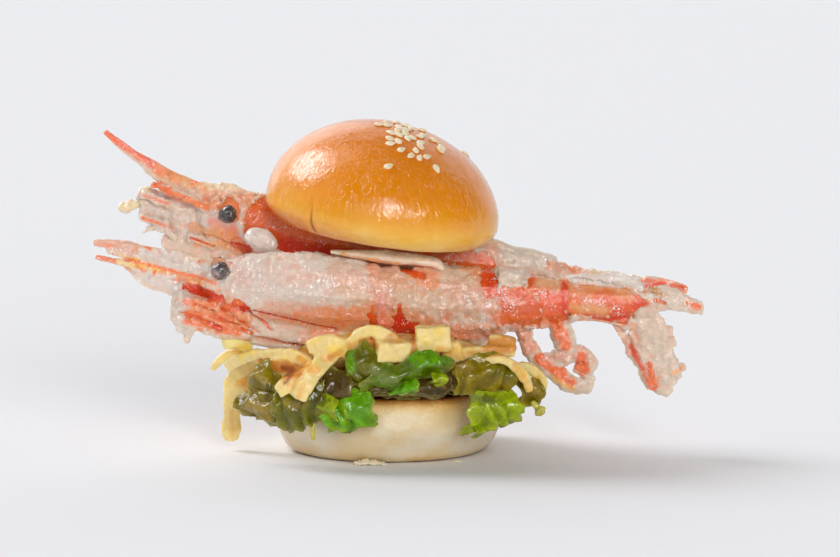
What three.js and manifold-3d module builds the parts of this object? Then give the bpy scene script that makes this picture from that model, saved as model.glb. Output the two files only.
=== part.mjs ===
// Shrimp burger: two whole crisp-fried shrimps lying side by side across a small round bun,
// over strips of thin omelette and a ruffled lettuce leaf, under a glossy domed crown.
// Millimetres, +Z up. The origin is the middle of the bottom bun's flat base. The shrimps'
// heads point along -X and their tails along +X, and -Y is the side that they are served to.
import * as THREE from "three";
import { mergeVertices } from "three/addons/utils/BufferGeometryUtils.js";
import Module from "manifold-3d";

const wasm = await Module();
wasm.setup();

// ---------------------------------------------------------------- driving dimensions
const GAP = 0.35; // clearance left between touching pieces

const HEEL = { baseRadius: 25.5, radius: 33, height: 19, rimRadius: 31.6, sides: 34 };
const CROWN = {
  radius: 33.8, // at its widest
  cutRadius: 29.5, // of the flat cut face
  lip: 5.5, // from the cut face up to the widest line
  dome: 27.2, // from the widest line up to the top
  at: [-2.6, 0, 63.4], // middle of the cut face
  rollDeg: 6.5, // tail side down
  pitchDeg: 3, // serving side down
};
const LEAF = {
  flatRadius: 29, // the part pressed flat between bun and filling
  radius: 38.5, // mean radius of the ruffled rim
  stretch: 5.5, // how much further the rim reaches along X
  top: 24.5, // height of the pressed part's upper side
  thickness: 5, // of the pressed layers together
  rimThickness: 2.6,
  ruffles: 11,
  ruffleHeight: 4.6,
};
const EGG = {
  radius: 28, // of the heap
  height: 9,
  backRise: 15, // how much higher the heap is under the back shrimp
  stripWidth: 4.6,
  stripThickness: 1.9,
  edgeStrips: 12, // strips that lie round the heap's edge
};
// Strips that hang free of the heap; the first one reaches almost down to the table.
const HANGING = [
  {
    width: 5.4,
    up: [0, 1, 0],
    path: [[-22, -8, 30], [-37, -10, 30.6], [-44.5, -9.5, 28.5], [-45.8, -9, 19], [-45.3, -8.6, 3.2]],
  },
  { width: 4.6, up: [0, 0, 1], path: [[-22, -20, 30], [-36, -17, 30.8], [-46, -15, 29], [-51, -14, 25]] },
  { width: 4.4, up: [0, 0, 1], path: [[20, -18, 31], [34, -20, 30.5], [42, -17, 25], [44, -15, 17]] },
];

const EYE = { radius: 2.9, apart: 12 };
const LIMBS = {
  spikeTip: 0.5, // half width of the spike over the eyes, at its tip and at its root
  spikeRoot: 2.6,
  scaleApart: 8, // the leaf-shaped antennal scales
  scaleWidth: 2.1,
  legs: 4,
  legsApart: 9,
  legWidth: 3.2,
  swimmeretPairs: 3,
  swimmeretWidth: 2,
  fanWidth: 2.4,
};

// Each shrimp's spine from behind the eyes to the tail root: [x, z, half height].
const FRONT = {
  y: -10,
  tailY: -8.5,
  spine: [
    [-47, 50.4, 5.2],
    [-37.4, 49, 8.6],
    [-25.8, 47.5, 10.3],
    [-10, 45.2, 11.2],
    [6, 43.4, 10.8],
    [20, 43.6, 11],
    [32, 46.2, 8.4],
    [45, 46, 5.9],
    [60, 45, 4.7],
    [74, 44, 4.4],
  ],
  flatness: 0.82, // half width over half height
  rostrum: { tip: [-85.3, 61.6], root: [-43, 54], thickness: 3.4 },
  eye: [-48.4, 54.2],
  scale: { tip: [-77, 52.5], height: 4.6 },
  legClump: { from: [-62, 41.6], to: [-20, 38], height: 4.3 },
  swimmerets: { from: 37, to: 50, length: 18, lean: 0.62 },
  fan: [
    { tip: [92.2, 43], height: 3.6, spread: -3.4 },
    { tip: [88.5, 47.6], height: 3.4, spread: 3.6 },
    { tip: [84, 21.6], height: 5.2, spread: -4 },
    { tip: [79, 17.6], height: 4.4, spread: 2.8 },
  ],
};
const BACK = {
  y: 8,
  tailY: 8.5,
  spine: [
    [-46, 65.6, 5.4],
    [-38, 62.9, 7.4],
    [-30, 60.6, 6.6],
    [-14.2, 57.6, 7.9],
    [4, 56, 7.4],
    [20.6, 54.3, 7],
    [34, 53.4, 6.4],
    [47, 51.6, 5.4],
    [60, 47.9, 3.6],
    [73, 46, 3.1],
  ],
  flatness: 0.9,
  rostrum: { tip: [-82.4, 91], root: [-42, 68.6], thickness: 3.6 },
  eye: [-46.7, 68.4],
  scale: { tip: [-75.5, 69.2], height: 5.4 },
  legClump: { from: [-68, 61], to: [-38, 57.5], height: 3.4 },
  swimmerets: { from: 42, to: 50, length: 7, lean: 0.5 },
  fan: [
    { tip: [87.6, 47.6], height: 3, spread: -2.6 },
    { tip: [84.5, 43.2], height: 3, spread: 2.8 },
  ],
};

// ---------------------------------------------------------------- shape helpers
const vec = (p) => new THREE.Vector3(...p);
const mix = THREE.MathUtils.lerp;
const rad = THREE.MathUtils.degToRad;

const ellipse = (sides) =>
  Array.from({ length: sides }, (_, i) => {
    const a = (2 * Math.PI * i) / sides;
    return [Math.cos(a), Math.sin(a)];
  });
const SLAB = [
  [-1, -1],
  [1, -1],
  [1, 1],
  [-1, 1],
];

// A closed skin over rings of points, each ring with the same number of points.
function skin(rings) {
  const n = rings[0].length;
  const points = rings.flat();
  const middle = (ring) =>
    ring.reduce((sum, p) => sum.add(p), new THREE.Vector3()).divideScalar(n);
  points.push(middle(rings[0]), middle(rings[rings.length - 1]));
  const index = [];
  for (let r = 0; r + 1 < rings.length; r++)
    for (let i = 0; i < n; i++) {
      const j = (i + 1) % n;
      const [a, b] = [r * n + i, r * n + j];
      index.push(a, b, b + n, a, b + n, a + n);
    }
  const last = (rings.length - 1) * n;
  for (let i = 0; i < n; i++) {
    const j = (i + 1) % n;
    index.push(points.length - 2, j, i, points.length - 1, last + i, last + j);
  }
  return new THREE.BufferGeometry()
    .setFromPoints(points)
    .setIndex(index);
}

// A closed tube through stations { at, w, h }, with its section's sides along side and up.
function loft(stations, section, steps, up = [0, 0, 1], grow = 0) {
  const path = new THREE.CatmullRomCurve3(stations.map((s) => vec(s.at)));
  const size = new THREE.CatmullRomCurve3(
    stations.map((s) => new THREE.Vector3(s.w, s.h, 0)),
  );
  const rings = [];
  for (let k = 0; k <= steps; k++) {
    const t = k / steps;
    const ahead = path.getTangent(t);
    const side = new THREE.Vector3().crossVectors(ahead, vec(up)).normalize();
    const over = new THREE.Vector3().crossVectors(side, ahead);
    const half = size.getPoint(t);
    const end = k === 0 ? -grow : k === steps ? grow : 0;
    const middle = path.getPoint(t).addScaledVector(ahead, end);
    rings.push(
      section.map(([u, v]) =>
        middle
          .clone()
          .addScaledVector(side, u * (half.x + grow))
          .addScaledVector(over, v * (half.y + grow)),
      ),
    );
  }
  return skin(rings);
}

function solidOf(geometry) {
  const bare = new THREE.BufferGeometry()
    .setAttribute("position", geometry.getAttribute("position"))
    .setIndex(geometry.index);
  const merged = mergeVertices(bare, 1e-3);
  const triVerts = new Uint32Array(merged.index.array);
  const make = () =>
    new wasm.Manifold(
      new wasm.Mesh({
        numProp: 3,
        vertProperties: merged.attributes.position.array,
        triVerts,
      }),
    );
  const made = make();
  if (made.volume() > 0) return made;
  triVerts.reverse();
  return make();
}

function geometryOf(solid) {
  const mesh = solid.getMesh();
  const geometry = new THREE.BufferGeometry()
    .setAttribute("position", new THREE.BufferAttribute(mesh.vertProperties, 3))
    .setIndex(new THREE.BufferAttribute(mesh.triVerts, 1));
  geometry.computeVertexNormals();
  return geometry;
}

const join = (solids) => solids.reduce((all, one) => all.add(one));
const largest = (solid) =>
  solid.decompose().sort((a, b) => b.volume() - a.volume())[0];

// ---------------------------------------------------------------- buns
function turned(profile, sides) {
  const lathe = new THREE.LatheGeometry(
    profile.map(([r, z]) => new THREE.Vector2(r, z)),
    sides,
  );
  return lathe.rotateX(Math.PI / 2); // the lathe turns about Y; the bun stands along Z
}

function heel(grow = 0) {
  const { baseRadius, radius, height, rimRadius } = HEEL;
  const steps = 7;
  const profile = [[0, -grow]];
  for (let i = 0; i <= steps; i++) {
    const t = i / steps;
    const out = Math.sin((t * Math.PI) / 2) ** 0.8;
    profile.push([mix(baseRadius, radius, out) + grow, t * 0.62 * height - grow * (1 - t)]);
  }
  profile.push([mix(radius, rimRadius, 0.35) + grow, 0.88 * height]);
  profile.push([rimRadius + grow, height - 0.6]);
  profile.push([rimRadius - 1 + grow, height + grow]);
  profile.push([0, height + grow]);
  return solidOf(turned(profile, HEEL.sides));
}

function crown(grow = 0) {
  const { radius, cutRadius, lip, dome, at, rollDeg, pitchDeg } = CROWN;
  const profile = [
    [0, -grow],
    [cutRadius + grow, -grow],
  ];
  for (let i = 1; i <= 4; i++) {
    const a = ((i / 4) * Math.PI) / 2;
    profile.push([
      mix(cutRadius, radius, Math.sin(a)) + grow,
      lip * (1 - Math.cos(a)),
    ]);
  }
  const steps = 9;
  for (let i = 1; i < steps; i++) {
    const a = ((i / steps) * Math.PI) / 2;
    profile.push([(radius + grow) * Math.cos(a), lip + (dome + grow) * Math.sin(a)]);
  }
  profile.push([0, lip + dome + grow]);
  const geometry = turned(profile, 34);
  // The dough rose a little unevenly: it bulges on the tail side and is flatter behind.
  const place = geometry.getAttribute("position");
  for (let i = 0; i < place.count; i++) {
    const [x, y, z] = [place.getX(i), place.getY(i), place.getZ(i)];
    const swell = 1 + 0.012 * Math.sin(2 * Math.atan2(y, x) + 0.6);
    place.setXYZ(i, x * swell, y * swell, z);
  }
  geometry
    .rotateX(rad(pitchDeg))
    .rotateY(rad(rollDeg))
    .translate(...at);
  return solidOf(geometry);
}

// ---------------------------------------------------------------- lettuce
// Middle height and reach of the leaf at a share s of the way from centre to rim.
function leafPoint(angle, s) {
  const { flatRadius, radius, stretch, top, thickness } = LEAF;
  const reach =
    radius +
    stretch * Math.cos(angle) ** 2 +
    1.6 * Math.sin(3 * angle + 1) +
    1.2 * Math.sin(LEAF.ruffles * angle);
  const r = s * reach;
  const loose = Math.max(0, (r - flatRadius) / (reach - flatRadius));
  const ruffle =
    Math.sin(LEAF.ruffles * angle + 0.8) +
    0.45 * Math.sin((LEAF.ruffles + 6) * angle);
  const droop = 4.2 + 2.2 * Math.cos(2 * angle + 2.2);
  const z =
    top -
    thickness / 2 +
    loose * (LEAF.ruffleHeight * ruffle - droop * loose) +
    1.4 * loose;
  return [r * Math.cos(angle), r * Math.sin(angle), z, loose];
}

function lettuce(grow = 0) {
  const around = 46;
  const shares = [0.4, 0.68, 0.76, 0.84, 0.92, 1];
  const sheet = (side) => (s) =>
    Array.from({ length: around }, (_, i) => {
      const angle = (2 * Math.PI * i) / around;
      const [x, y, z, loose] = leafPoint(angle, s);
      const half = mix(LEAF.thickness, LEAF.rimThickness, loose) / 2 + grow;
      const out = s === 1 ? 1 + grow / LEAF.radius : 1;
      return new THREE.Vector3(x * out, y * out, z + side * half);
    });
  const rings = [...shares.map(sheet(-1)), ...shares.reverse().map(sheet(1))];
  return solidOf(skin(rings));
}

// ---------------------------------------------------------------- omelette strips
function strip({ path, width, up }, grow) {
  const stations = path.map((at) => ({ at, w: width / 2, h: EGG.stripThickness / 2 }));
  return solidOf(loft(stations, SLAB, 2 * (path.length - 1), up, grow));
}

// The strip i of those round the heap's edge, its lower end slipping over the lettuce.
function edgeStrip(i, grow) {
  const angle = (2 * Math.PI * (i + 0.3 * Math.sin(5 * i))) / EGG.edgeStrips;
  const reach = EGG.radius + 4.2 + 1.8 * Math.sin(3 * i);
  const turn = 0.34 + 0.1 * Math.cos(7 * i);
  const top = LEAF.top + EGG.height + 0.5 * EGG.backRise * Math.max(0, Math.sin(angle));
  const at = (a, r, z) => [r * Math.cos(a), r * Math.sin(a), z];
  const path = [
    at(angle - turn, EGG.radius - 5, top - 0.5 + Math.sin(i)),
    at(angle, reach, top - 1.5 + 1.2 * Math.sin(2.3 * i)),
    at(angle + turn, reach - 1, top - 3.9 + Math.sin(1.7 * i)),
  ];
  return strip({ path, width: EGG.stripWidth, up: [0, 0, 1] }, grow);
}

function egg(grow = 0) {
  const around = 32;
  const ring = (share, z, low) =>
    Array.from({ length: around }, (_, i) => {
      const a = (2 * Math.PI * i) / around;
      const uneven = 1.4 * Math.sin(7 * a) + Math.sin(12 * a + 1);
      const r = share * (EGG.radius + uneven) + grow;
      const behind = Math.max(0, Math.sin(a)) * share; // the heap is higher under the back shrimp
      const rise = low ? 0 : EGG.backRise * behind + 1.1 * Math.sin(9 * a) * share;
      return new THREE.Vector3(r * Math.cos(a), r * Math.sin(a), z + rise);
    });
  const bottom = LEAF.top;
  const heap = skin([
    ring(0.5, bottom - grow, true),
    ring(0.96, bottom - grow, true),
    ring(1.04, bottom + 4, true),
    ring(0.98, bottom + EGG.height, false),
    ring(0.6, bottom + EGG.height + 2 + grow, false),
  ]);
  const edge = Array.from({ length: EGG.edgeStrips }, (_, i) => edgeStrip(i, grow));
  const hanging = HANGING.map((one) => strip(one, grow));
  return join([solidOf(heap), ...edge, ...hanging]);
}

// ---------------------------------------------------------------- shrimps
// The half height at share t of the spine, stepped where the abdomen's plates overlap.
function plated(shrimp) {
  const plates = 6;
  const [first] = shrimp.spine;
  const last = shrimp.spine[shrimp.spine.length - 1];
  const start = mix(first[0], last[0], 0.36); // the carapace ends here
  return shrimp.spine.map(([x, z, h], i) => {
    const along = Math.max(0, (x - start) / (last[0] - start));
    const step = along > 0 ? 0.05 * (1 - ((along * plates) % 1)) : 0.03;
    const y = mix(shrimp.y, shrimp.tailY, i / (shrimp.spine.length - 1));
    return { at: [x, y, z], w: h * shrimp.flatness * (1 + step), h: h * (1 + step) };
  });
}

// A flat tapering limb, half as thick as width says along its side and as height says along up.
function blade(from, mid, to, width, height, up, grow) {
  return solidOf(
    loft(
      [
        { at: from, w: width * 0.55, h: height },
        { at: mid, w: width, h: height },
        { at: to, w: width * 0.4, h: height * 0.6 },
      ],
      ellipse(6),
      4,
      up,
      grow,
    ),
  );
}

function eyePlaces(shrimp) {
  const [x, z] = shrimp.eye;
  return { near: [x, shrimp.y - EYE.apart / 2, z], far: [x, shrimp.y + EYE.apart / 2, z] };
}

function eyeball(at, grow = 0) {
  const ball = new THREE.SphereGeometry(EYE.radius + grow, 8, 6);
  ball.deleteAttribute("normal");
  ball.deleteAttribute("uv");
  return solidOf(ball.translate(...at));
}

function shrimpBody(shrimp, grow = 0) {
  const { y, tailY, rostrum, scale, legClump, swimmerets, fan, spine } = shrimp;
  const parts = [solidOf(loft(plated(shrimp), ellipse(12), 18, [0, 0, 1], grow))];

  // The toothed spike over the eyes.
  const [tip, root] = [rostrum.tip, rostrum.root];
  const spike = [0, 0.35, 0.7, 1].map((t) => ({
    at: [mix(tip[0], root[0], t), y, mix(tip[1], root[1], t) - 1.6 * Math.sin(Math.PI * t)],
    w: mix(LIMBS.spikeTip, LIMBS.spikeRoot, t),
    h: mix(LIMBS.spikeTip, rostrum.thickness, t),
  }));
  parts.push(solidOf(loft(spike, ellipse(6), 6, [0, 0, 1], grow)));

  // A leaf-shaped antennal scale on each side of the head.
  const [headX, headZ] = spine[0];
  for (const side of [-0.5, 0.5]) {
    const apart = side * LIMBS.scaleApart;
    const rootAt = [headX + 3, y + apart * 0.6, headZ - 1];
    const midAt = [mix(headX, scale.tip[0], 0.5), y + apart, mix(headZ, scale.tip[1], 0.5)];
    const tipAt = [scale.tip[0], y + apart * 0.8, scale.tip[1]];
    parts.push(blade(rootAt, midAt, tipAt, LIMBS.scaleWidth, scale.height, [0, side / 2, 1], grow));
  }

  // Walking legs folded forward under the head in one crisp clump.
  for (let i = 0; i < LIMBS.legs; i++) {
    const across = (i / (LIMBS.legs - 1) - 0.5) * LIMBS.legsApart;
    const lift = 1.4 * Math.sin(2.2 * i);
    const from = [legClump.to[0] - 1.5 * i, y + across * 0.6, legClump.to[1] + 1];
    const to = [legClump.from[0] + 2.6 * i, y + across, legClump.from[1] + lift];
    const mid = [mix(to[0], from[0], 0.5), y + across, mix(to[2], from[2], 0.5) - 0.8];
    parts.push(blade(from, mid, to, LIMBS.legWidth, legClump.height, [0, 0, 1], grow));
  }

  // Swimmerets under the abdomen, in pairs, sweeping back.
  const pairs = LIMBS.swimmeretPairs;
  const belly = (x) => {
    const next = spine.findIndex((s) => s[0] >= x);
    const [[x0, z0, h0], [x1, z1, h1]] = [spine[next - 1], spine[next]];
    const t = (x - x0) / (x1 - x0);
    return mix(z0, z1, t) - 0.6 * mix(h0, h1, t);
  };
  for (let i = 0; i < pairs; i++)
    for (const side of [-1, 1]) {
      const x = mix(swimmerets.from, swimmerets.to, i / (pairs - 1));
      const z = belly(x);
      const reach = swimmerets.length * (1 - 0.14 * i) * (side < 0 ? 1 : 0.9);
      const along = swimmerets.lean * reach;
      const from = [x, tailY + side * 1.6, z];
      const mid = [x + along * 0.35, tailY + side * 3.4, z - reach * 0.5];
      const to = [x + along, tailY + side * 4, z - reach];
      parts.push(blade(from, mid, to, LIMBS.swimmeretWidth, LIMBS.swimmeretWidth, [1, 0, 0], grow));
    }

  // The tail fan's blades, from the last segment.
  const [tailX, tailZ] = spine[spine.length - 1];
  for (const { tip: [x, z], height, spread } of fan) {
    const from = [tailX - 1.5, tailY + spread * 0.3, tailZ];
    const mid = [mix(tailX, x, 0.5) + 1, tailY + spread, mix(tailZ, z, 0.5)];
    const to = [x, tailY + spread * 1.3, z];
    parts.push(blade(from, mid, to, LIMBS.fanWidth, height, [0, 0.3, 1], grow));
  }
  return join(parts);
}

// ---------------------------------------------------------------- the burger
const matte = (color, roughness) =>
  new THREE.MeshStandardMaterial({ color, roughness, metalness: 0 });
const MATERIALS = {
  crust: matte(0xd8913c, 0.3),
  crumb: matte(0xe9dcc0, 0.8),
  leaf: matte(0x5f7a1e, 0.45),
  omelette: matte(0xf2d27a, 0.5),
  batter: matte(0xe6c2ae, 0.6),
  eye: matte(0x141214, 0.2),
};

const burger = new THREE.Group();
function put(name, solid, material) {
  const mesh = new THREE.Mesh(geometryOf(largest(solid)), MATERIALS[material]);
  mesh.name = name;
  burger.add(mesh);
}

const shrimps = { shrimp_front: FRONT, shrimp_back: BACK };
const grownShrimps = Object.values(shrimps).map((s) => shrimpBody(s, GAP));

put("bun_bottom", heel(), "crumb");
put("lettuce", lettuce().subtract(heel(GAP)).subtract(egg(GAP)), "leaf");
put("egg_strips", egg().subtract(join(grownShrimps)), "omelette");

let taken = null; // what the back shrimp has to stay clear of
for (const [name, shrimp] of Object.entries(shrimps)) {
  let body = shrimpBody(shrimp);
  if (taken) body = body.subtract(taken);
  for (const [side, at] of Object.entries(eyePlaces(shrimp))) {
    put(`${name}_eye_${side}`, eyeball(at), "eye");
    body = body.subtract(eyeball(at, GAP));
  }
  put(name, body, "batter");
  taken = grownShrimps[0];
}
put("bun_top", crown().subtract(join(grownShrimps)), "crust");

export default burger;
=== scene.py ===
import math
import random

import bpy
import numpy as np
from mathutils import Matrix, Vector, noise
from mathutils.bvhtree import BVHTree


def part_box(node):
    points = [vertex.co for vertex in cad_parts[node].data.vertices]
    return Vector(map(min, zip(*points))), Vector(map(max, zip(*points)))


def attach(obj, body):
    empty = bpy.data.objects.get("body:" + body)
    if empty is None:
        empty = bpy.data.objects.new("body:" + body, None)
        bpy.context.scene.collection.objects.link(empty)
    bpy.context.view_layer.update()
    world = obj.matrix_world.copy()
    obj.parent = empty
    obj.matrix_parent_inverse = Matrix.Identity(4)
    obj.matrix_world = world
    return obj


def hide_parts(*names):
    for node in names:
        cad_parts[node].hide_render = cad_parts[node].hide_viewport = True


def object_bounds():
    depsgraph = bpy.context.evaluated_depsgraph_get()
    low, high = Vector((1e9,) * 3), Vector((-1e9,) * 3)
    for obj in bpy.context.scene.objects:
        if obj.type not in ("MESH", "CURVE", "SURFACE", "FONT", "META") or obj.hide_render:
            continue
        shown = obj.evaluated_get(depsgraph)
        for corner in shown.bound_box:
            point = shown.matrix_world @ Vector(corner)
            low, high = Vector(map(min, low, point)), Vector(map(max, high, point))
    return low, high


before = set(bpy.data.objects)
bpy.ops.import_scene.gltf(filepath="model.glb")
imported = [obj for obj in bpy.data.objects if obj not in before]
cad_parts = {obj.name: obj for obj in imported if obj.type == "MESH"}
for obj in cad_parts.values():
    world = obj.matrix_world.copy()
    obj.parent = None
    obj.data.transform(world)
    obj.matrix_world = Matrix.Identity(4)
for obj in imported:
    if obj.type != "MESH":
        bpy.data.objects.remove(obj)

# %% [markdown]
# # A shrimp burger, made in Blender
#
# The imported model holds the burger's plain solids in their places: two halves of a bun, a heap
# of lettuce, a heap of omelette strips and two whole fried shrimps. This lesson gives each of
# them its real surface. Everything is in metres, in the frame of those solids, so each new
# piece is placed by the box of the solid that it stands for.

MM = 0.001
CAD_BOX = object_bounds()


def in_mm(place):
    """A place in rounded millimetres, to print."""
    return [round(v / MM, 1) for v in place]


print("solids reach from", in_mm(CAD_BOX[0]), "to", in_mm(CAD_BOX[1]))

# %% [markdown]
# ## Small tools
#
# An operator acts on whatever is selected, so every step starts by picking exactly the pieces
# that it works on. `finish_with` adds a modifier with its settings and applies it at once:
# the finished pieces hold plain meshes that any other program can read. A piece of food is
# never even, so many steps move the mesh's points by a rule. `points_of` gives them all as
# one array, which is far quicker than going through them one by one.


# %% Pick, finish and join
def pick(*pieces):
    """Selects just these pieces, the first one active."""
    bpy.ops.object.select_all(action="DESELECT")
    for piece in pieces:
        piece.select_set(True)
    bpy.context.view_layer.objects.active = pieces[0]


def finish_with(piece, kind, **settings):
    """Adds one modifier and applies it."""
    pick(piece)
    modifier = piece.modifiers.new(kind.title(), kind)
    for name, value in settings.items():
        setattr(modifier, name, value)
    bpy.ops.object.modifier_apply(modifier=modifier.name)


def joined(name, pieces):
    """Joins the pieces into one object of that name."""
    pick(*pieces)
    bpy.ops.object.join()
    pieces[0].name = name
    pieces[0].data.name = name
    return pieces[0]


def settle(piece):
    """Puts the object's place, turn and scale into its mesh."""
    pick(piece)
    bpy.ops.object.transform_apply(location=True, rotation=True, scale=True)


# %% Read and move a mesh's points
def points_of(piece):
    """The mesh's points as an array with one row for each."""
    flat = np.empty(len(piece.data.vertices) * 3)
    piece.data.vertices.foreach_get("co", flat)
    return flat.reshape(-1, 3)


def move_points(piece, points):
    """Puts the mesh's points at these places."""
    piece.data.vertices.foreach_set("co", points.ravel())
    piece.data.update()


def fit_to(piece, low, high):
    """Stretches the mesh a little, so that its box is the box from low to high."""
    points = points_of(piece)
    own_low, own_high = points.min(0), points.max(0)
    share = (points - own_low) / (own_high - own_low)
    move_points(piece, np.array(low) + share * (np.array(high) - np.array(low)))


# %% Hand a finished piece over
def smooth_shaded(piece):
    """Shades the piece as one smooth surface."""
    pick(piece)
    bpy.ops.object.shade_smooth()


def finish_only(piece, material):
    """Gives the piece this finish and no other."""
    piece.data.materials.clear()
    piece.data.materials.append(material)


def belongs(piece, slot, *nodes):
    """Rides the piece on the burger and hides the solids it stands for. The slot is not used."""
    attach(piece, "root")
    if nodes:
        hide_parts(*nodes)
    print(piece.name, "has", len(piece.data.polygons), "faces")


# %% [markdown]
# ## Camera
#
# The burger is seen level from its served side, from just above the table. A long lens far
# away keeps the shrimps' spikes and tails from being stretched by perspective. The camera
# aims a little to the tails' side of the burger's middle, which leaves room for the shadow.

# %% Set up the camera
CAMERA_TILT = math.radians(7.5)
CAMERA_AWAY = 2031 * MM
AIM_TO_TAILS, AIM_UP = 5.5 * MM, 1.8 * MM
middle = (CAD_BOX[0] + CAD_BOX[1]) / 2
aim = Vector((middle.x + AIM_TO_TAILS, 0, middle.z + AIM_UP))
bpy.ops.object.camera_add(
    location=aim + CAMERA_AWAY * Vector((0, -math.cos(CAMERA_TILT), math.sin(CAMERA_TILT))),
    rotation=(math.pi / 2 - CAMERA_TILT, 0, 0),
)
camera = bpy.context.object
camera.data.lens = 300
camera.data.sensor_width = 36
camera.data.clip_start = 0.01
bpy.context.scene.camera = camera
print("camera at", [round(v, 3) for v in camera.location])

# %% [markdown]
# ## Table and light
#
# The table is one wide pale sheet, and the room's back wall is pale too. The rest of the room
# is dim, which keeps the gleams on glossy food small and its colours deep. The light comes
# through windows. The ones at the burger's left make the big gleam on the crown and the shadow
# to the right. The ones in front make the second gleam and light what lies under the crown.
# Weak ones behind it and at its right draw its edges. Each is a sun light with a wide disc,
# which lights the whole table evenly.


# %% Start a material
def shader(material):
    """The material's main shader node."""
    return next(n for n in material.node_tree.nodes if n.type == "BSDF_PRINCIPLED")


def new_material(name, **sockets):
    """A material whose shader has these values, such as base_color or roughness."""
    material = bpy.data.materials.new(name)
    material.use_nodes = True
    for socket, value in sockets.items():
        shader(material).inputs[socket.replace("_", " ").title()].default_value = value
    return material


# %% Lay the table
TABLE_SIZE = 30
bpy.ops.mesh.primitive_plane_add(size=TABLE_SIZE)
table = bpy.context.object
table.name = "table"
table.data.materials.append(
    new_material("pale_table", base_color=(0.865, 0.86, 0.865, 1), roughness=0.9)
)

# %% Light the room
ROOM_DIM, ROOM_WALL = 0.09, 0.885  # brightness of the room and of its back wall
world = bpy.data.worlds.new("bright_room")
bpy.context.scene.world = world
world.use_nodes = True
sky = world.node_tree.nodes
direction = sky.new("ShaderNodeTexCoord").outputs["Generated"]
split = sky.new("ShaderNodeSeparateXYZ")
grade = sky.new("ShaderNodeMapRange")
grade.interpolation_type = "SMOOTHSTEP"
for name, value in {"From Min": 0.5, "From Max": 0.7, "To Min": ROOM_DIM, "To Max": ROOM_WALL}.items():
    grade.inputs[name].default_value = value
world.node_tree.links.new(direction, split.inputs[0])
world.node_tree.links.new(split.outputs["Y"], grade.inputs["Value"])
world.node_tree.links.new(grade.outputs["Result"], sky["Background"].inputs["Strength"])
sky["Background"].inputs["Color"].default_value = (0.99, 0.985, 1, 1)
bpy.context.scene.view_settings.view_transform = "Standard"

# %% Open the windows
WINDOWS = {  # window: (direction towards it, width of its disc in degrees, strength)
    "left": ((-0.69, 0.34, 0.62), 27, 1.35),
    "left_wide": ((-0.82, 0.02, 0.5), 70, 0.55),
    "left_middle": ((-0.55, 0.3, 0.78), 20, 0.3),
    "left_top": ((-0.34, 0.22, 0.92), 20, 0.16),
    "right": ((0.5, 0.75, 0.45), 60, 0.16),
    "behind": ((-0.4, 0.82, 0.4), 45, 0.44),
    "in_front": ((0.22, -0.93, 0.28), 16, 0.6),
    "in_front_top": ((0.17, -0.87, 0.46), 16, 0.48),
    "low": ((0.1, -0.98, 0.1), 70, 0.78),
    "beside": ((0.58, -0.76, 0.24), 12, 0.3),
}


def window_light(name, towards, disc_deg, strength):
    """A far soft light that shines on the burger from the direction `towards`."""
    direction = Vector(towards).normalized()
    bpy.ops.object.light_add(type="SUN", location=aim + direction)
    light = bpy.context.object
    light.name = name
    light.rotation_euler = direction.to_track_quat("Z", "Y").to_euler()
    light.data.angle = math.radians(disc_deg)
    light.data.energy = strength
    return light


windows = {name: window_light("window_" + name, *how) for name, how in WINDOWS.items()}
windows["left"].data.color = (0.94, 0.98, 1.06)  # a cold sky makes the biggest gleam whiter
print(len(windows), "windows")

# %% [markdown]
# ## Tools for finishes
#
# Every finish here is made of nodes that read the piece's own coordinates, so it stays on the
# piece from any side. `node` adds one node and fills its sockets with numbers or with other
# nodes' outputs. The rest are the few patterns that baked and fried food needs: cloudy noise,
# a ramp of colours, a blend of two colours, and a bump.


# %% Add nodes and colours
def rgb(red, green, blue):
    """A colour given as a screen shows it, from 0 to 255, as the shader wants it."""
    def linear(value):
        value /= 255
        return value / 12.92 if value <= 0.04045 else ((value + 0.055) / 1.055) ** 2.4

    return (linear(red), linear(green), linear(blue), 1)


def plug(material, socket, value):
    """Links another node's output to the socket, or sets it to a plain value."""
    if isinstance(value, bpy.types.NodeSocket):
        material.node_tree.links.new(value, socket)
    else:
        socket.default_value = value


def set_sockets(material, sockets):
    """Sets constants on the material's shader."""
    for socket, value in sockets.items():
        shader(material).inputs[socket].default_value = value


def node(material, kind, settings=None, **sockets):
    """Adds a node; a socket's name is written with _ for each space."""
    made = material.node_tree.nodes.new("ShaderNode" + kind)
    for name, value in (settings or {}).items():
        setattr(made, name, value)
    for name, value in sockets.items():
        plug(material, made.inputs[name.replace("_", " ")], value)
    return made


# %% Scatter clouds and cells
def place_on(material, stretch=(1, 1, 1)):
    """The piece's own coordinates, stretched."""
    at = node(material, "TexCoord").outputs["Object"]
    if stretch == (1, 1, 1):
        return at
    return node(material, "Mapping", Vector=at, Scale=stretch).outputs["Vector"]


def cloud(material, size, detail=3, roughness=0.5, stretch=(1, 1, 1), warp=0):
    """Cloudy noise from 0 to 1 whose lumps are about `size` across."""
    made = node(
        material, "TexNoise", Vector=place_on(material, stretch), Scale=1 / size,
        Detail=detail, Roughness=roughness, Distortion=warp,
    )
    return made.outputs["Fac"]


def cells(material, size, feature="F1"):
    """Distance to the nearest of scattered points about `size` apart."""
    made = node(
        material, "TexVoronoi", {"feature": feature}, Vector=place_on(material), Scale=1 / size
    )
    return made.outputs["Distance"]


# %% Turn numbers into colours
def ramp(material, value, *stops):
    """Turns a number into a colour through stops of (number, colour or grey)."""
    made = node(material, "ValToRGB", Fac=value)
    elements = made.color_ramp.elements
    while len(elements) < len(stops):
        elements.new(0.5)
    for element, (position, colour) in zip(elements, stops):
        element.position = position
        element.color = colour if isinstance(colour, tuple) else (colour, colour, colour, 1)
    return made.outputs["Color"]


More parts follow.
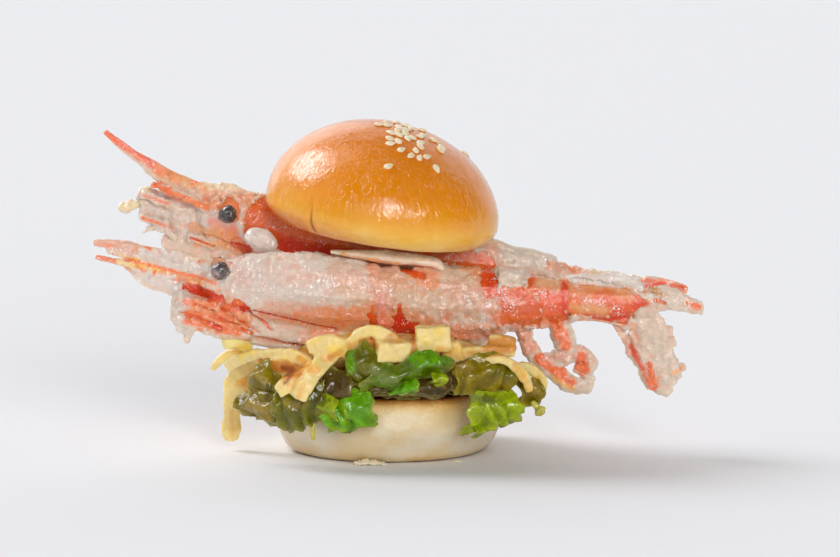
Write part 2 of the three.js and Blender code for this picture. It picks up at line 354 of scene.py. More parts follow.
def blend(material, share, first, second, mode="MIX"):
    """The first colour turning into the second as the share goes from 0 to 1."""
    made = node(material, "Mix", {"data_type": "RGBA", "blend_type": mode})
    plug(material, made.inputs[0], share)
    plug(material, made.inputs[6], first)
    plug(material, made.inputs[7], second)
    return made.outputs[2]


def figure(material, operation, first, second=0.5, third=0.5):
    """One step of arithmetic on numbers or outputs."""
    made = node(material, "Math", {"operation": operation})
    for socket, value in zip(made.inputs, (first, second, third)):
        plug(material, socket, value)
    return made.outputs["Value"]


# %% Put colour and relief on a surface
def bump(material, height, depth, under=None):
    """Relief of that depth in metres, on top of the relief `under`."""
    made = node(material, "Bump", Strength=1.0, Distance=depth, Height=height)
    if under is not None:
        plug(material, made.inputs["Normal"], under)
    return made.outputs["Normal"]


def colour_by(material, colour):
    """Gives the material's surface a colour, plain or from a node."""
    plug(material, shader(material).inputs["Base Color"], colour)


def embossed(material, relief, coat_relief=None):
    """Puts the relief on the surface, and the same or another one on its clear coat."""
    if coat_relief is None:
        coat_relief = relief
    plug(material, shader(material).inputs["Normal"], relief)
    plug(material, shader(material).inputs["Coat Normal"], coat_relief)


# %% Paint numbers on a piece
def painted(piece, name, values):
    """Keeps one number for each of the mesh's points, for a material to read."""
    attribute = piece.data.attributes.new(name, "FLOAT", "POINT")
    attribute.data.foreach_set("value", np.asarray(values, dtype=np.float32))


def paint(material, name):
    """The numbers that `painted` kept."""
    return node(material, "Attribute", {"attribute_name": name}).outputs["Fac"]


# %% Wobble a surface
def wobble(piece, size, depth):
    """Pushes the surface in and out by a cloudy texture, by half the depth each way."""
    texture = bpy.data.textures.new("wobble", "CLOUDS")
    texture.noise_scale = size
    texture.noise_depth = 2
    finish_with(
        piece, "DISPLACE", texture=texture, strength=depth, mid_level=0.5, texture_coords="LOCAL"
    )


# %% [markdown]
# ## Crown of the bun
#
# The top half was brushed with egg before baking, so it is a smooth glossy dome, deep golden
# on top and pale where it touched its neighbours. It could be drawn as a profile and spun, but
# a ball is quicker: its upper half is squashed to the dome's height and its lower half to the
# lip's, and a bisect cuts it flat and closes it. A bevel softens the cut, and creases where
# the dough folded are pressed in near the lip.

# %% Squash a ball to the crown's dome and lip
CROWN_RADIUS, CROWN_DOME = 33.8 * MM, 27.2 * MM
CROWN_TUCK = 11.3 * MM  # how deep the lip would close if it weren't cut
CROWN_LEAN = 3 * MM  # how far the top leans towards the heads

bpy.ops.object.select_all(action="DESELECT")
bpy.ops.mesh.primitive_uv_sphere_add(segments=320, ring_count=130, radius=CROWN_RADIUS)
crown = bpy.context.object
crown.name = "crown"
points = points_of(crown)
above = points[:, 2] > 0
points[above, 2] *= CROWN_DOME / CROWN_RADIUS
points[~above, 2] *= CROWN_TUCK / CROWN_RADIUS
points[above, 0] -= CROWN_LEAN * (points[above, 2] / CROWN_DOME) ** 2
move_points(crown, points)

# %% Cut it flat and soften the cut
CROWN_LIP = 5.5 * MM

bpy.ops.object.mode_set(mode="EDIT")
bpy.ops.mesh.select_all(action="SELECT")
bpy.ops.mesh.bisect(
    plane_co=(0, 0, -CROWN_LIP), plane_no=(0, 0, -1), use_fill=True, clear_outer=True
)
bpy.ops.object.mode_set(mode="OBJECT")
finish_with(
    crown, "BEVEL", width=1.2 * MM, segments=4, limit_method="ANGLE", angle_limit=math.radians(30)
)

# %% Press creases into the lip
CREASES = [  # (direction in degrees, width in degrees, depth)
    (-127, 1.3, 1.5), (-121, 2.4, 0.4), (-139, 1.5, 0.5), (-84, 2.6, 0.3), (-64, 2, 0.35),
    (-32, 3, 0.3), (20, 3, 0.5), (75, 4, 0.6), (120, 2.5, 0.4), (170, 3, 0.5),
]
CREASE_TOP = 0.42  # share of the crown's height that a crease reaches

points = points_of(crown)
rise = (points[:, 2] + CROWN_LIP) / (CROWN_DOME + CROWN_LIP)
painted(crown, "rise", rise)
turn = np.degrees(np.arctan2(points[:, 1], points[:, 0]))
near_lip = np.clip(1 - rise / CREASE_TOP, 0, 1) * np.clip(rise / 0.05, 0, 1)
folds = np.zeros(len(points))
for direction, width, depth in CREASES:
    off = (turn - direction + 180) % 360 - 180
    press = depth * MM * np.exp(-((off / width) ** 2)) * near_lip
    points[:, :2] *= (1 - press / CROWN_RADIUS)[:, None]
    folds = np.maximum(folds, press / MM)
painted(crown, "fold", folds)

# %% Mark the left of the lip for a deeper orange, and lean the crown
CROWN_TURN = (math.radians(3), math.radians(6.5), 0)
CROWN_DROOP = 0.04  # how far the lip hangs lower towards the tails, for its distance

left_side = np.clip(0.1 - points[:, 0] / CROWN_RADIUS, 0, 1)
painted(crown, "toast", np.clip(1.5 * left_side * np.clip(1 - rise / 0.22, 0, 1), 0, 1))
points[:, 2] -= CROWN_DROOP * points[:, 0] * np.clip(1 - rise / 0.6, 0, 1)
move_points(crown, points)

crown.rotation_euler = CROWN_TURN
settle(crown)
wobble(crown, 22 * MM, 1.1 * MM)
wobble(crown, 5 * MM, 0.16 * MM)
fit_to(crown, *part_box("bun_top"))
smooth_shaded(crown)
print("crown's top is at", in_mm(points_of(crown).max(0))[2])

# %% [markdown]
# ## Crust
#
# Egg wash bakes to a clear shiny skin over brown crust. The brown follows the height that was
# painted on the dome: pale at the lip, where the oven's heat came last, and deep gold above.
# The skin shrinks as it cools, so it is full of fine wrinkles, which break up its gleams.
# The colour and the relief are made apart, and the gloss lies on top as a clear coat.

# %% Bake the crust
crust = new_material("egg_washed_crust", roughness=0.33)
height = figure(crust, "MULTIPLY_ADD", cloud(crust, 9 * MM, detail=4), 0.22, paint(crust, "rise"))
baked = ramp(
    crust, height,
    (0.04, rgb(232, 160, 76)), (0.09, rgb(244, 188, 96)), (0.16, rgb(250, 206, 112)),
    (0.25, rgb(244, 182, 58)), (0.36, rgb(240, 160, 20)), (0.56, rgb(236, 140, 0)),
    (1.0, rgb(230, 128, 0)),
)
mottled = ramp(
    crust, cloud(crust, 2.2 * MM, detail=5, roughness=0.62), (0.35, 0.9), (0.62, 1.0)
)
freckles = ramp(crust, cells(crust, 1.7 * MM), (0.0, rgb(214, 148, 66)), (0.11, (1, 1, 1, 1)))
coloured = blend(crust, paint(crust, "toast"), baked, rgb(228, 124, 18))
coloured = blend(crust, 0.55, coloured, mottled, "MULTIPLY")
coloured = blend(crust, 0.35, coloured, freckles, "MULTIPLY")
# Painted shade: the creases are coloured a darker brown where shade falls in them.
crease_shade = ramp(crust, paint(crust, "fold"), (0.3, 0.0), (1.0, 0.8))
coloured = blend(crust, crease_shade, coloured, rgb(150, 78, 14))
colour_by(crust, coloured)

# %% Glaze the crust and wrinkle the glaze
set_sockets(crust, {
    "Coat Weight": 1.0, "Coat Roughness": 0.06, "Coat IOR": 1.65, "Specular IOR Level": 0.0,
})
wrinkles = cloud(crust, 1.3 * MM, detail=3, roughness=0.55, stretch=(1, 1, 0.6), warp=0.8)
scratches = ramp(
    crust, cloud(crust, 2.4 * MM, detail=3, roughness=0.5, stretch=(1, 1, 0.5), warp=1.6),
    (0.485, 0.0), (0.5, 1.0), (0.515, 0.0),
)
glaze_relief = bump(crust, scratches, 0.15 * MM, under=bump(crust, wrinkles, 0.18 * MM))
embossed(crust, bump(crust, wrinkles, 0.07 * MM), glaze_relief)
finish_only(crown, crust)
belongs(crown, "crust", "bun_top")

# %% [markdown]
# ## Cut face
#
# Under the crown the dough was sliced open, so its face is pale crumb full of holes, and not
# crust. The faces that point down are picked by their normal and get a finish of their own.

# %% Slice the crumb
FACING_DOWN = -0.95
crumb = new_material("sliced_crumb", roughness=0.85)
holes = cells(crumb, 1.3 * MM)
# Painted shade: the holes are coloured darker, where shade falls into them.
shaded = ramp(crumb, holes, (0.1, rgb(205, 178, 128)), (0.5, rgb(238, 222, 182)))
colour_by(crumb, shaded)
plug(crumb, shader(crumb).inputs["Normal"], bump(crumb, holes, 0.5 * MM))
crown.data.materials.append(crumb)
for face in crown.data.polygons:
    if face.normal.z < FACING_DOWN and face.area > 1e-5:
        face.material_index = 1

# %% [markdown]
# ## Sesame seeds
#
# One seed is a ball drawn out to a point, as flat as a hulled sesame seed is. Copies are
# dropped on the crown in a loose patch: each falls straight down onto the dome, lies along
# its slope and points its own way. A ray cast downwards finds the dome and its slope.

# %% Shape one seed
SEED_LENGTH, SEED_WIDTH, SEED_THICKNESS = 3.2 * MM, 2.2 * MM, 1.1 * MM

bpy.ops.object.select_all(action="DESELECT")
bpy.ops.mesh.primitive_uv_sphere_add(segments=14, ring_count=9, radius=0.5)
seed = bpy.context.object
points = points_of(seed)
pointed = 1 - 0.55 * np.clip(points[:, 0] + 0.1, 0, None) / 0.6
points[:, 1:] *= pointed[:, None]
points *= np.array([SEED_LENGTH, SEED_WIDTH, SEED_THICKNESS])
move_points(seed, points)
smooth_shaded(seed)

# %% Drop a seed on the crown
SEED_LIFT = 0.32 * MM  # height of a seed's middle over the crust

crown_low, crown_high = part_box("bun_top")
crown_middle = (crown_low + crown_high) / 2


def on_crown(x, y):
    """The point of the crown under (x, y) and its outward direction."""
    _, at, normal, _ = crown.ray_cast(Vector((x, y, crown_high.z + 0.01)), Vector((0, 0, -1)))
    return at, normal


def dropped_seed(x, y, heading):
    """A copy of the seed, lying on the crown and pointing that way."""
    copy = seed.copy()
    copy.data = seed.data.copy()
    bpy.context.collection.objects.link(copy)
    at, normal = on_crown(x, y)
    upright = normal.to_track_quat("Z", "Y").to_matrix() @ Matrix.Rotation(heading, 3, "Z")
    size = random.uniform(0.9, 1.08)
    resting = Matrix.Translation(at + normal * SEED_LIFT)
    copy.matrix_world = resting @ upright.to_4x4() @ Matrix.Scale(size, 4)
    return copy


# %% Scatter the seeds
SEED_PATCH = Vector((7.8, -9.5, 0)) * MM  # middle of the patch, from the middle of the crown
PATCH_REACH = 11.5 * MM
SEEDS_IN_PATCH = 32
SEED_GAP = 1.9 * MM  # least distance between the middles of two seeds
STRAY_SEEDS = [(2, -26), (15.6, -21.4), (-3, 22), (24, 6)]

random.seed(11)
spots = []
while len(spots) < SEEDS_IN_PATCH:
    spread, way = PATCH_REACH * random.random() ** 0.6, random.uniform(0, 2 * math.pi)
    spot = crown_middle + SEED_PATCH + spread * Vector((0.8 * math.cos(way), math.sin(way), 0))
    if all((spot - other).xy.length > SEED_GAP for other in spots):
        spots.append(spot)
spots += [crown_middle + Vector((x, y, 0)) * MM for x, y in STRAY_SEEDS]
seeds = joined("sesame_seeds", [dropped_seed(s.x, s.y, random.uniform(0, 6.3)) for s in spots])
settle(seeds)
bpy.data.objects.remove(seed)
print(len(spots), "seeds")

# %% [markdown]
# A hulled sesame seed is creamy, a little uneven and slightly translucent, so its finish is a
# soft cloud of two creams with some light let in.

# %% Hull the seeds
hull = new_material("sesame_hull", roughness=0.42)
creams = ramp(hull, cloud(hull, 2 * MM), (0.3, rgb(236, 212, 164)), (0.65, rgb(252, 242, 214)))
colour_by(hull, creams)
set_sockets(hull, {"Subsurface Weight": 0.2, "Subsurface Scale": 1 * MM})
finish_only(seeds, hull)
smooth_shaded(seeds)
belongs(seeds, "crumb")

# %% [markdown]
# ## Tools for food
#
# Leaves, strips, limbs and batter all start the same few ways. A limb is a curve whose width
# is set point by point, turned into a mesh and flattened sideways. A sheet is a grid drawn
# through a few rows of places. `flowed` melts what overlaps into one skin, and cloudy noise
# makes it uneven. Places are given in millimetres.


# %% Draw a limb
def beyond(end, before):
    """A point just past the end of a limb, narrower, so that the end is round."""
    end, before = np.array(end, float), np.array(before, float)
    step = end[:3] - before[:3]
    step *= 0.55 * end[3] / np.linalg.norm(step)
    return (*(end[:3] + step), 0.5 * end[3])


def limb(flat, path, grow=0.0):
    """A limb through points of (x, y, z, radius), `flat` times as thick as it is tall."""
    path = [beyond(path[0], path[1]), *path, beyond(path[-1], path[-2])]
    bpy.ops.object.select_all(action="DESELECT")
    bpy.ops.curve.primitive_bezier_curve_add()
    line = bpy.context.object.data
    line.dimensions = "3D"
    line.bevel_depth = MM
    line.bevel_resolution = 3
    line.resolution_u = 8
    line.use_fill_caps = True
    line.splines[0].bezier_points.add(len(path) - 2)
    for point, (x, y, z, radius) in zip(line.splines[0].bezier_points, path):
        point.co = Vector((x, y, z)) * MM
        point.radius = radius + grow
        point.handle_left_type = point.handle_right_type = "AUTO"
    bpy.ops.object.convert(target="MESH")
    made = bpy.context.object
    points = points_of(made)
    middle_y = MM * sum(y for _, y, _, _ in path) / len(path)
    points[:, 1] = middle_y + flat * (points[:, 1] - middle_y)
    move_points(made, points)
    return made


# %% Draw a sheet
def smooth_through(places, count):
    """That many places along the smooth (Catmull-Rom) curve through the given ones."""
    places = np.asarray(places, float)
    ends = np.concatenate([[2 * places[0] - places[1]], places, [2 * places[-1] - places[-2]]])
    at = np.clip(np.linspace(0, len(places) - 1, count), 0, len(places) - 1 - 1e-9)
    first = at.astype(int)
    t = (at - first).reshape(-1, *[1] * (places.ndim - 1))
    a, b, c, d = (ends[first + k] for k in range(4))
    slope, bend, twist = c - a, 2 * a - 5 * b + 4 * c - d, 3 * b - a - 3 * c + d
    return (2 * b + slope * t + bend * t**2 + twist * t**3) / 2


def sheet(rows, across, down):
    """A grid drawn smoothly through rows of places; gives it and its shares across and down."""
    bpy.ops.object.select_all(action="DESELECT")
    bpy.ops.mesh.primitive_grid_add(x_subdivisions=across, y_subdivisions=down, size=1)
    made = bpy.context.object
    shares = points_of(made)[:, :2] + 0.5
    shares[:, 1] = 1 - shares[:, 1]
    table = smooth_through(np.swapaxes(smooth_through(rows, down + 1), 0, 1), across + 1)
    column = np.rint(shares[:, 0] * across).astype(int)
    row = np.rint(shares[:, 1] * down).astype(int)
    move_points(made, table[column, row] * MM)
    return made, shares


# %% Melt pieces together, find their outside and squash a ball
def flowed(piece, voxel):
    """Melts everything in the piece into one skin."""
    finish_with(piece, "REMESH", mode="VOXEL", voxel_size=voxel * MM)


def normals_of(piece):
    """The outward direction at each of the mesh's points."""
    flat = np.empty(len(piece.data.vertices) * 3)
    piece.data.vertices.foreach_get("normal", flat)
    return flat.reshape(-1, 3)


def ball(size, squash, at):
    """A smooth ball, squashed by three factors and put in its place."""
    bpy.ops.object.select_all(action="DESELECT")
    bpy.ops.mesh.primitive_uv_sphere_add(segments=48, ring_count=24, radius=size * MM)
    made = bpy.context.object
    made.scale = squash
    made.location = Vector(at) * MM
    settle(made)
    return made


# %% [markdown]
# Batter and colour both come in strokes: each is a line from one place to another, seen from
# the side, with a half width. Cloudy noise makes the edges ragged, as they are on the food.


# %% Measure strokes and noise
def fuzz(points, size, seed=0):
    """Cloudy noise from about -1 to 1 at each point; its lumps are `size` across."""
    steps = points / size + 13.7 * seed
    return 1.6 * np.array([noise.noise(Vector(step)) for step in steps])


def stroke_share(points, stroke, ragged, soft):
    """How much of the stroke lies on each point, from 0 to 1."""
    x, z, to_x, to_z, width = stroke[:5]
    run = np.array([to_x - x, to_z - z])
    flat = points[:, [0, 2]] - np.array([x, z])
    share = np.clip((flat @ run) / max(run @ run, 1e-6), 0, 1)
    away = np.linalg.norm(flat - share[:, None] * run, axis=1)
    return np.clip((width - away + ragged * min(0.7 * width, 1.4)) / soft + 0.5, 0, 1)


# %% Lay strokes on limbs
def strokes_on(paths, marks):
    """Strokes that lie on limbs. A mark's ends are (share along the limb, lift in half widths)."""
    strokes = []
    for name, *ends in marks:
        path = np.array(paths[name], float)
        stroke = []
        for share, lift in ends[:2]:
            at = share * (len(path) - 1)
            x, _, z, half = (np.interp(at, range(len(path)), column) for column in path.T)
            stroke += [x, z + lift * half]
        strokes.append((*stroke, *ends[2:]))
    return strokes


def covered(points, strokes, ragged, soft):
    """The strongest stroke's share at each point."""
    return np.max([stroke_share(points, stroke, ragged, soft) for stroke in strokes], axis=0)


# %% Colour a piece point by point
def keep_colours(piece, colours):
    """Keeps one colour for each of the mesh's points, for a material to read."""
    kept = piece.data.color_attributes.new(name="tone", type="FLOAT_COLOR", domain="POINT")
    kept.data.foreach_set("color", np.asarray(colours, dtype=np.float32).ravel())


def tinted(colours, share, colour):
    """The colours, each moved towards one colour by its own share."""
    colours = np.array(colours)
    return colours + share[:, None] * (np.array(colour) - colours)


def coloured_in(piece, points, colours, strokes, ragged, palette, soft=0.5):
    """Lays the colour strokes over the colours and keeps them on the piece."""
    for stroke in strokes:
        share = stroke_share(points, stroke, ragged, max(soft * stroke[4], 0.4)) * stroke[6]
        colour = np.array(palette[stroke[5]][:3])
        colours[:, :3] += share[:, None] * (colour - colours[:, :3])
    keep_colours(piece, colours)


def tone_of(material):
    """The colour that `keep_colours` kept."""
    return node(material, "Attribute", {"attribute_name": "tone"}).outputs["Color"]


# %% [markdown]
# ## Heel of the bun
#
# The bottom half is a low bowl: a flat base, sides that swell out and a toasted rim. A spun
# outline would do, but a ball already has rows that close at both ends, so its rows are moved
# to the bowl's profile. Noise then makes the side uneven and the rim lumpy.

# %% Shape the heel
HEEL_PROFILE = [  # (height, radius)
    (0, 26.4), (0.8, 28.4), (3, 30.4), (8.6, 33), (13, 32.5), (16.6, 31.4), (18.4, 30.2), (19, 28.6),
]
HEEL_RIM = 0.8 * MM  # how far the toasted rim stands up under the leaves
HEEL_SIDE = 58  # degrees of the ball's rows that become the side; the rest close it
PROFILE_STEPS = 200

bpy.ops.object.select_all(action="DESELECT")
bpy.ops.mesh.primitive_uv_sphere_add(segments=160, ring_count=120, radius=1)
heel = bpy.context.object
heel.name = "heel"
points = points_of(heel)
tilt = np.degrees(np.arcsin(np.clip(points[:, 2], -1, 1)))
share = np.clip(tilt / HEEL_SIDE / 2 + 0.5, 0, 1)
profile = smooth_through(HEEL_PROFILE, PROFILE_STEPS)
steps = np.linspace(0, 1, PROFILE_STEPS)
height, radius = (np.interp(share, steps, column) for column in profile.T)
radius *= np.clip((90 - np.abs(tilt)) / (90 - HEEL_SIDE), 0, 1)
length = np.maximum(np.linalg.norm(points[:, :2], axis=1), 1e-6)
points[:, :2] *= (radius / length)[:, None]
points[:, 2] = height
points *= MM
move_points(heel, points)
painted(heel, "rise", share)

# %% Make it uneven
off_the_base = np.clip(share * 12, 0, 1)
on_the_rim = np.clip(share * 6 - 5, 0, 1)
push = (0.7 * fuzz(points / MM, 14, 2) + 0.12 * fuzz(points / MM, 3, 4)) * off_the_base
points[:, :2] += normals_of(heel)[:, :2] * push[:, None] * MM
points[:, 2] += 0.35 * fuzz(points / MM, 6, 7) * on_the_rim * MM
move_points(heel, points)
low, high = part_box("bun_bottom")
fit_to(heel, low, high + Vector((0, 0, HEEL_RIM)))
smooth_shaded(heel)
print("heel's rim is at", in_mm(points_of(heel).max(0))[2])

# %% [markdown]
# Baking leaves a thin brown line round the base, where the dough touched the hot sheet, and
# the side stays pale. The cut rim was toasted in butter, so it is brown, rough and glistening.
# A ramp over the height makes all of this, and a cloud added to the height keeps its borders
# from running level.

# %% Bake the heel
heel_skin = new_material("pale_baked_heel", roughness=0.5)
waver = cloud(heel_skin, 7 * MM, detail=5, roughness=0.65)
rise = figure(heel_skin, "MULTIPLY_ADD", waver, 0.2, paint(heel_skin, "rise"))
baked = ramp(
    heel_skin, rise,
    (0.13, rgb(104, 58, 20)), (0.165, rgb(204, 162, 92)), (0.25, rgb(222, 200, 154)),
    (0.45, rgb(230, 218, 194)), (0.7, rgb(236, 216, 174)), (0.8, rgb(240, 202, 128)),
    (0.9, rgb(222, 154, 74)), (0.96, rgb(134, 68, 26)),
)
patches = ramp(
    heel_skin, cloud(heel_skin, 16 * MM, detail=4, roughness=0.6, stretch=(1, 1, 1.8)),
    (0.42, rgb(246, 226, 180)), (0.6, (1, 1, 1, 1)),
)
baked = blend(heel_skin, 0.6, baked, patches, "MULTIPLY")
colour_by(heel_skin, baked)

# %% Butter the heel and blister its rim
set_sockets(heel_skin, {
    "Coat Weight": 0.6, "Coat Roughness": 0.14, "Subsurface Weight": 0.3,
    "Subsurface Scale": 2 * MM, "Specular IOR Level": 0.3,
})
relief = bump(heel_skin, cloud(heel_skin, 1.8 * MM, detail=5, roughness=0.7), 0.16 * MM)
blisters = figure(
    heel_skin, "MULTIPLY", cloud(heel_skin, 2.6 * MM, detail=4, roughness=0.6, stretch=(1, 1, 1.6)),
    ramp(heel_skin, rise, (0.7, 0.0), (0.84, 1.0)),
)
embossed(heel_skin, bump(heel_skin, blisters, 0.7 * MM, under=relief))
finish_only(heel, heel_skin)
belongs(heel, "crumb", "bun_bottom")

# %% [markdown]
# A few flakes of batter fell beside the heel. Each is a small ball, pressed flat and pushed
# about by noise. None may sink into the table, so every point is lifted to just above it.

# %% Drop the flakes
FLAKES = [  # (x, y, size)
    (-6.5, -30.5, 1.7), (-4.4, -31.2, 1.4), (-8.4, -31, 1.3), (-2.6, -30.6, 1.0), (-1.2, -31.8, 0.8),
    (20, -26, 0.6), (-24, 22, 1.0), (12, 31, 0.9),
]
FLAKE_SHAPE = (1.3, 0.9, 0.42)
TABLE_GAP = 0.02

flakes = joined(
    "fallen_flakes", [ball(size, FLAKE_SHAPE, (x, y, 0.45 * size)) for x, y, size in FLAKES]
)
points = points_of(flakes) / MM
points += normals_of(flakes) * (0.3 * fuzz(points, 0.9, 3) + 0.2 * fuzz(points, 0.4, 4))[:, None]
points[:, 2] = np.maximum(points[:, 2], TABLE_GAP)
move_points(flakes, points * MM)
smooth_shaded(flakes)

# %% Fry the flakes
flake = new_material("fallen_batter", base_color=rgb(240, 222, 190), roughness=0.5)
set_sockets(flake, {"Coat Weight": 0.4, "Subsurface Weight": 0.3, "Subsurface Scale": 1 * MM})
finish_only(flakes, flake)
belongs(flakes, "crumb")

# %% [markdown]
# ## Lettuce
#
# The leaves are thin sheets, wilted to olive where they touch the hot filling and still bright
# where they hang out. Frilled rings go all round the bun, and separate leaves and folds
# stand in front of them. A leaf's edge has more length than its middle, so it gathers into
# pleats that deepen towards the edge, and the edge itself is toothed. A cloth simulation could
# make such folds, but then no leaf could be put where it is wanted. A leaf in front is given by
# the directions that it stands between, in degrees from straight in front, and by how far it
# reaches out from the heel's side and up from the heel's cut.

# %% Lay out the leaves
LEAVES = {  # leaf: (colour, directions, reach at both sides, tops, bottoms)
    "left_point": ("olive", (-54, -43), (14, 12), (9, 11, 6), (0, 0, 0)),
    "left_frill": ("olive", (-61, -33), (16, 11), (0.5, 3.5, 5.5), (-5, -7, -7)),
    "left_lobe": ("moss", (-42, -25), (14, 9), (4.5, 5.5, 7), (-7, -8, -5.5)),
    "brown_fold": ("bark", (-32, -14), (8, 6), (10, 10.5, 8.5), (-2, -3, 0.5)),
    "upper_leaf": ("moss", (-19, 2), (5, 5), (13, 17, 15, 12.5), (5, 4, 4.5, 3.5)),
    "bright_flap": ("bright", (-26, -6), (8, 6), (3, 4, 4), (-8.5, -8, -6.5)),
    "bright_edge": ("lime", (-27, -19), (9, 10), (3, 3, 1.5), (-4.5, -5, -5)),
    "big_fold": ("green", (-9, 24), (6, 8), (10.5, 12, 11.5, 15, 16, 13.5), (3.5, 3.5, 5, 6.5, 7.5, 7)),
    "wedge": ("bright", (0, 11), (7, 8), (3.5, 6.5, 8), (2.5, 2.5, 2.5)),
    "yellow_bit": ("lime", (17, 23), (8, 8), (8.5, 10, 9), (5.5, 5, 5.5)),
    "dark_low": ("bark", (11, 27), (5, 5), (6.5, 8, 7), (2, 1, 2)),
    "right_olive": ("olive", (24, 49), (8, 14), (10.5, 13, 14.5, 11), (3, 2, 2, 1.5)),
    "right_curl": ("moss", (38, 50), (10, 11), (11, 11.5, 9), (7.5, 7, 6)),
    "right_flap": ("lime", (31, 50), (9, 15), (3.5, 3.5, 3), (-8.5, -8, -6)),
    "right_tip": ("lime", (33, 37), (10, 10), (-6.5, -6.5, -6.5), (-10, -10.5, -10)),
    "right_droop": ("olive", (52, 60), (12, 17), (6, 6.5, 5), (-2, -2.5, -2)),
    "middle_low": ("bark", (-10, 13), (4, 5), (6, 6, 6), (2.5, 2, 2.5)),
}
LEAF_MARKS = [  # (leaf, (share across, lift), (share across, lift), half width, colour, strength)
    ("left_point", (0.2, 0.7), (0.7, 0.2), 0.9, "tan", 0.6),
    ("left_point", (0.8, 0), (0.8, -0.8), 1.2, "shade", 0.5),
    ("left_frill", (0.3, 0), (0.6, -0.1), 1.4, "tan", 0.6),
    ("left_lobe", (0.3, 0.2), (0.6, 0), 1.2, "tan", 0.4),
    ("left_lobe", (0.8, 0.6), (1, 0), 1.7, "shade", 0.6),
    ("upper_leaf", (0.15, 0.8), (0.2, 0), 1.4, "bright", 0.7),
    ("upper_leaf", (0.4, 0.8), (0.7, 0.6), 1.2, "moss", 0.5),
    # painted sheen: a grey-green patch where the fold gleams
    ("big_fold", (0.1, 0.7), (0.35, -0.5), 1.6, "grey", 0.55),
    ("big_fold", (0.6, 0.8), (0.95, 0.8), 2.3, "bright", 0.75),
    ("big_fold", (0.9, 0), (1, -0.6), 0.9, "shade", 0.6),
    ("dark_low", (0.4, -0.3), (0.8, -0.8), 1.7, "shade", 0.5),
    ("right_olive", (0.05, 0.8), (0.25, 0.6), 1.4, "tan", 0.5),
    ("right_olive", (0.6, 0.4), (0.85, 0.1), 2, "moss", 0.6),
    # painted sheen on the flap's upper side
    ("right_flap", (0, 0.7), (0.4, 0.4), 0.9, "grey", 0.6),
    ("right_flap", (0.3, 0.6), (0.5, 0.5), 1.2, "shade", 0.5),
    ("right_flap", (0.75, 0.5), (0.9, -0.4), 1.2, "lime", 0.5),
    ("right_droop", (0.3, 0.6), (0.6, 0.2), 1.4, "tan", 0.6),
    ("bright_flap", (0.4, 0.3), (0.5, -0.5), 0.9, "lime", 0.5),
    ("bright_flap", (0.1, -0.8), (0.4, -1), 1.2, "lime", 0.6),
]

# %% Stand the leaves round the bun
HEEL_LOW, HEEL_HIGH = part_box("bun_bottom")
HEEL_REACH = (HEEL_HIGH.x - HEEL_LOW.x) / 2 / MM
HEEL_CUT = HEEL_HIGH.z / MM


def round_the_bun(direction, out, up):
    """A place in millimetres: a direction from the front, how far out, and how far up."""
    reach = HEEL_REACH + out
    turn = math.radians(direction)
    return (reach * math.sin(turn), -reach * math.cos(turn), HEEL_CUT + up)


def standing_leaf(directions, reach, tops, bottoms):
    """Rows of places down a leaf that stands round the bun and swells in the middle."""
    rows = []
    across = np.linspace(0, 1, len(tops))
    for down, swell in ((0, 0), (0.5, 3), (1, 0)):
        row = []
        for share, top, bottom in zip(across, tops, bottoms):
            direction, out = np.interp(share, (0, 1), directions), np.interp(share, (0, 1), reach)
            row.append(round_the_bun(direction, out + swell, top + down * (bottom - top)))
        rows.append(row)
    return rows


def spine_of(rows):
    """A leaf's middle row with half its height, for marks to lie on."""
    return [(*place, (high[2] - low[2]) / 2) for high, place, low in zip(*rows)]


leaf_rows = {name: standing_leaf(*places) for name, (_, *places) in LEAVES.items()}
leaf_strokes = strokes_on({name: spine_of(rows) for name, rows in leaf_rows.items()}, LEAF_MARKS)
print(len(leaf_rows), "leaves in front,", len(leaf_strokes), "marks on them")

# %% [markdown]
# A wilted leaf moves in three sizes at once: wide pleats across it, sharp creases between them
# and fine crinkles. They all grow towards the lower edge, which hangs free. The same numbers
# paint shade into the folds and light onto the ridges, and give a yellower edge, so the painted
# light and shade follow the shape.

# %% Ruffle a leaf
PLEAT = 5.6  # how wide one pleat is at the edge


def ruffled(made, shares, edge, lift, tooth, seed):
    """Gathers the sheet's lower edge into pleats and cuts teeth into its edges."""
    points, outward = points_of(made) / MM, normals_of(made)
    middle = points.mean(0)
    sway = fuzz(points, 8, seed)
    pleats = np.sin(2 * math.pi * points[:, 0] / PLEAT + 5 * sway + seed)
    creases = 0.6 - 1.7 * np.abs(fuzz(points, 4.2, seed + 1))
    fine = 0.5 - 1.5 * np.abs(fuzz(points, 1.9, seed + 5))
    wave = (0.25 + 0.75 * shares[:, 1] ** 1.3) * (0.6 * pleats + 0.4 * creases) + 0.07 * fine
    points += outward * (lift * wave)[:, None]
    points[:, 2] += 0.5 * lift * shares[:, 1] ** 2 * pleats
    lobes = np.clip(fuzz(points, 4.2, seed + 4), -0.6, 1) * edge**3
    points += outward * (0.9 * lobes)[:, None]
    bite = tooth * edge**5 * (1.2 * lobes + 0.45 * np.clip(fuzz(points, 1.5, seed + 2), 0, 1) * edge**4)
    points += (middle - points) * bite[:, None]
    move_points(made, points * MM)
    return wave


# %% Colour and thicken a leaf
GREENS = {
    "olive": rgb(122, 104, 6), "moss": rgb(94, 92, 2), "bark": rgb(76, 58, 14),
    "green": rgb(80, 104, 2), "bright": rgb(92, 150, 4), "lime": rgb(140, 158, 8),
    # "grey" is a painted sheen: a grey-green where the leaf gleams
    "tan": rgb(158, 130, 60), "grey": rgb(126, 134, 74), "shade": rgb(52, 44, 6),
}
EDGE_GREEN = rgb(186, 176, 76)
LEAF_THICKNESS = 0.4


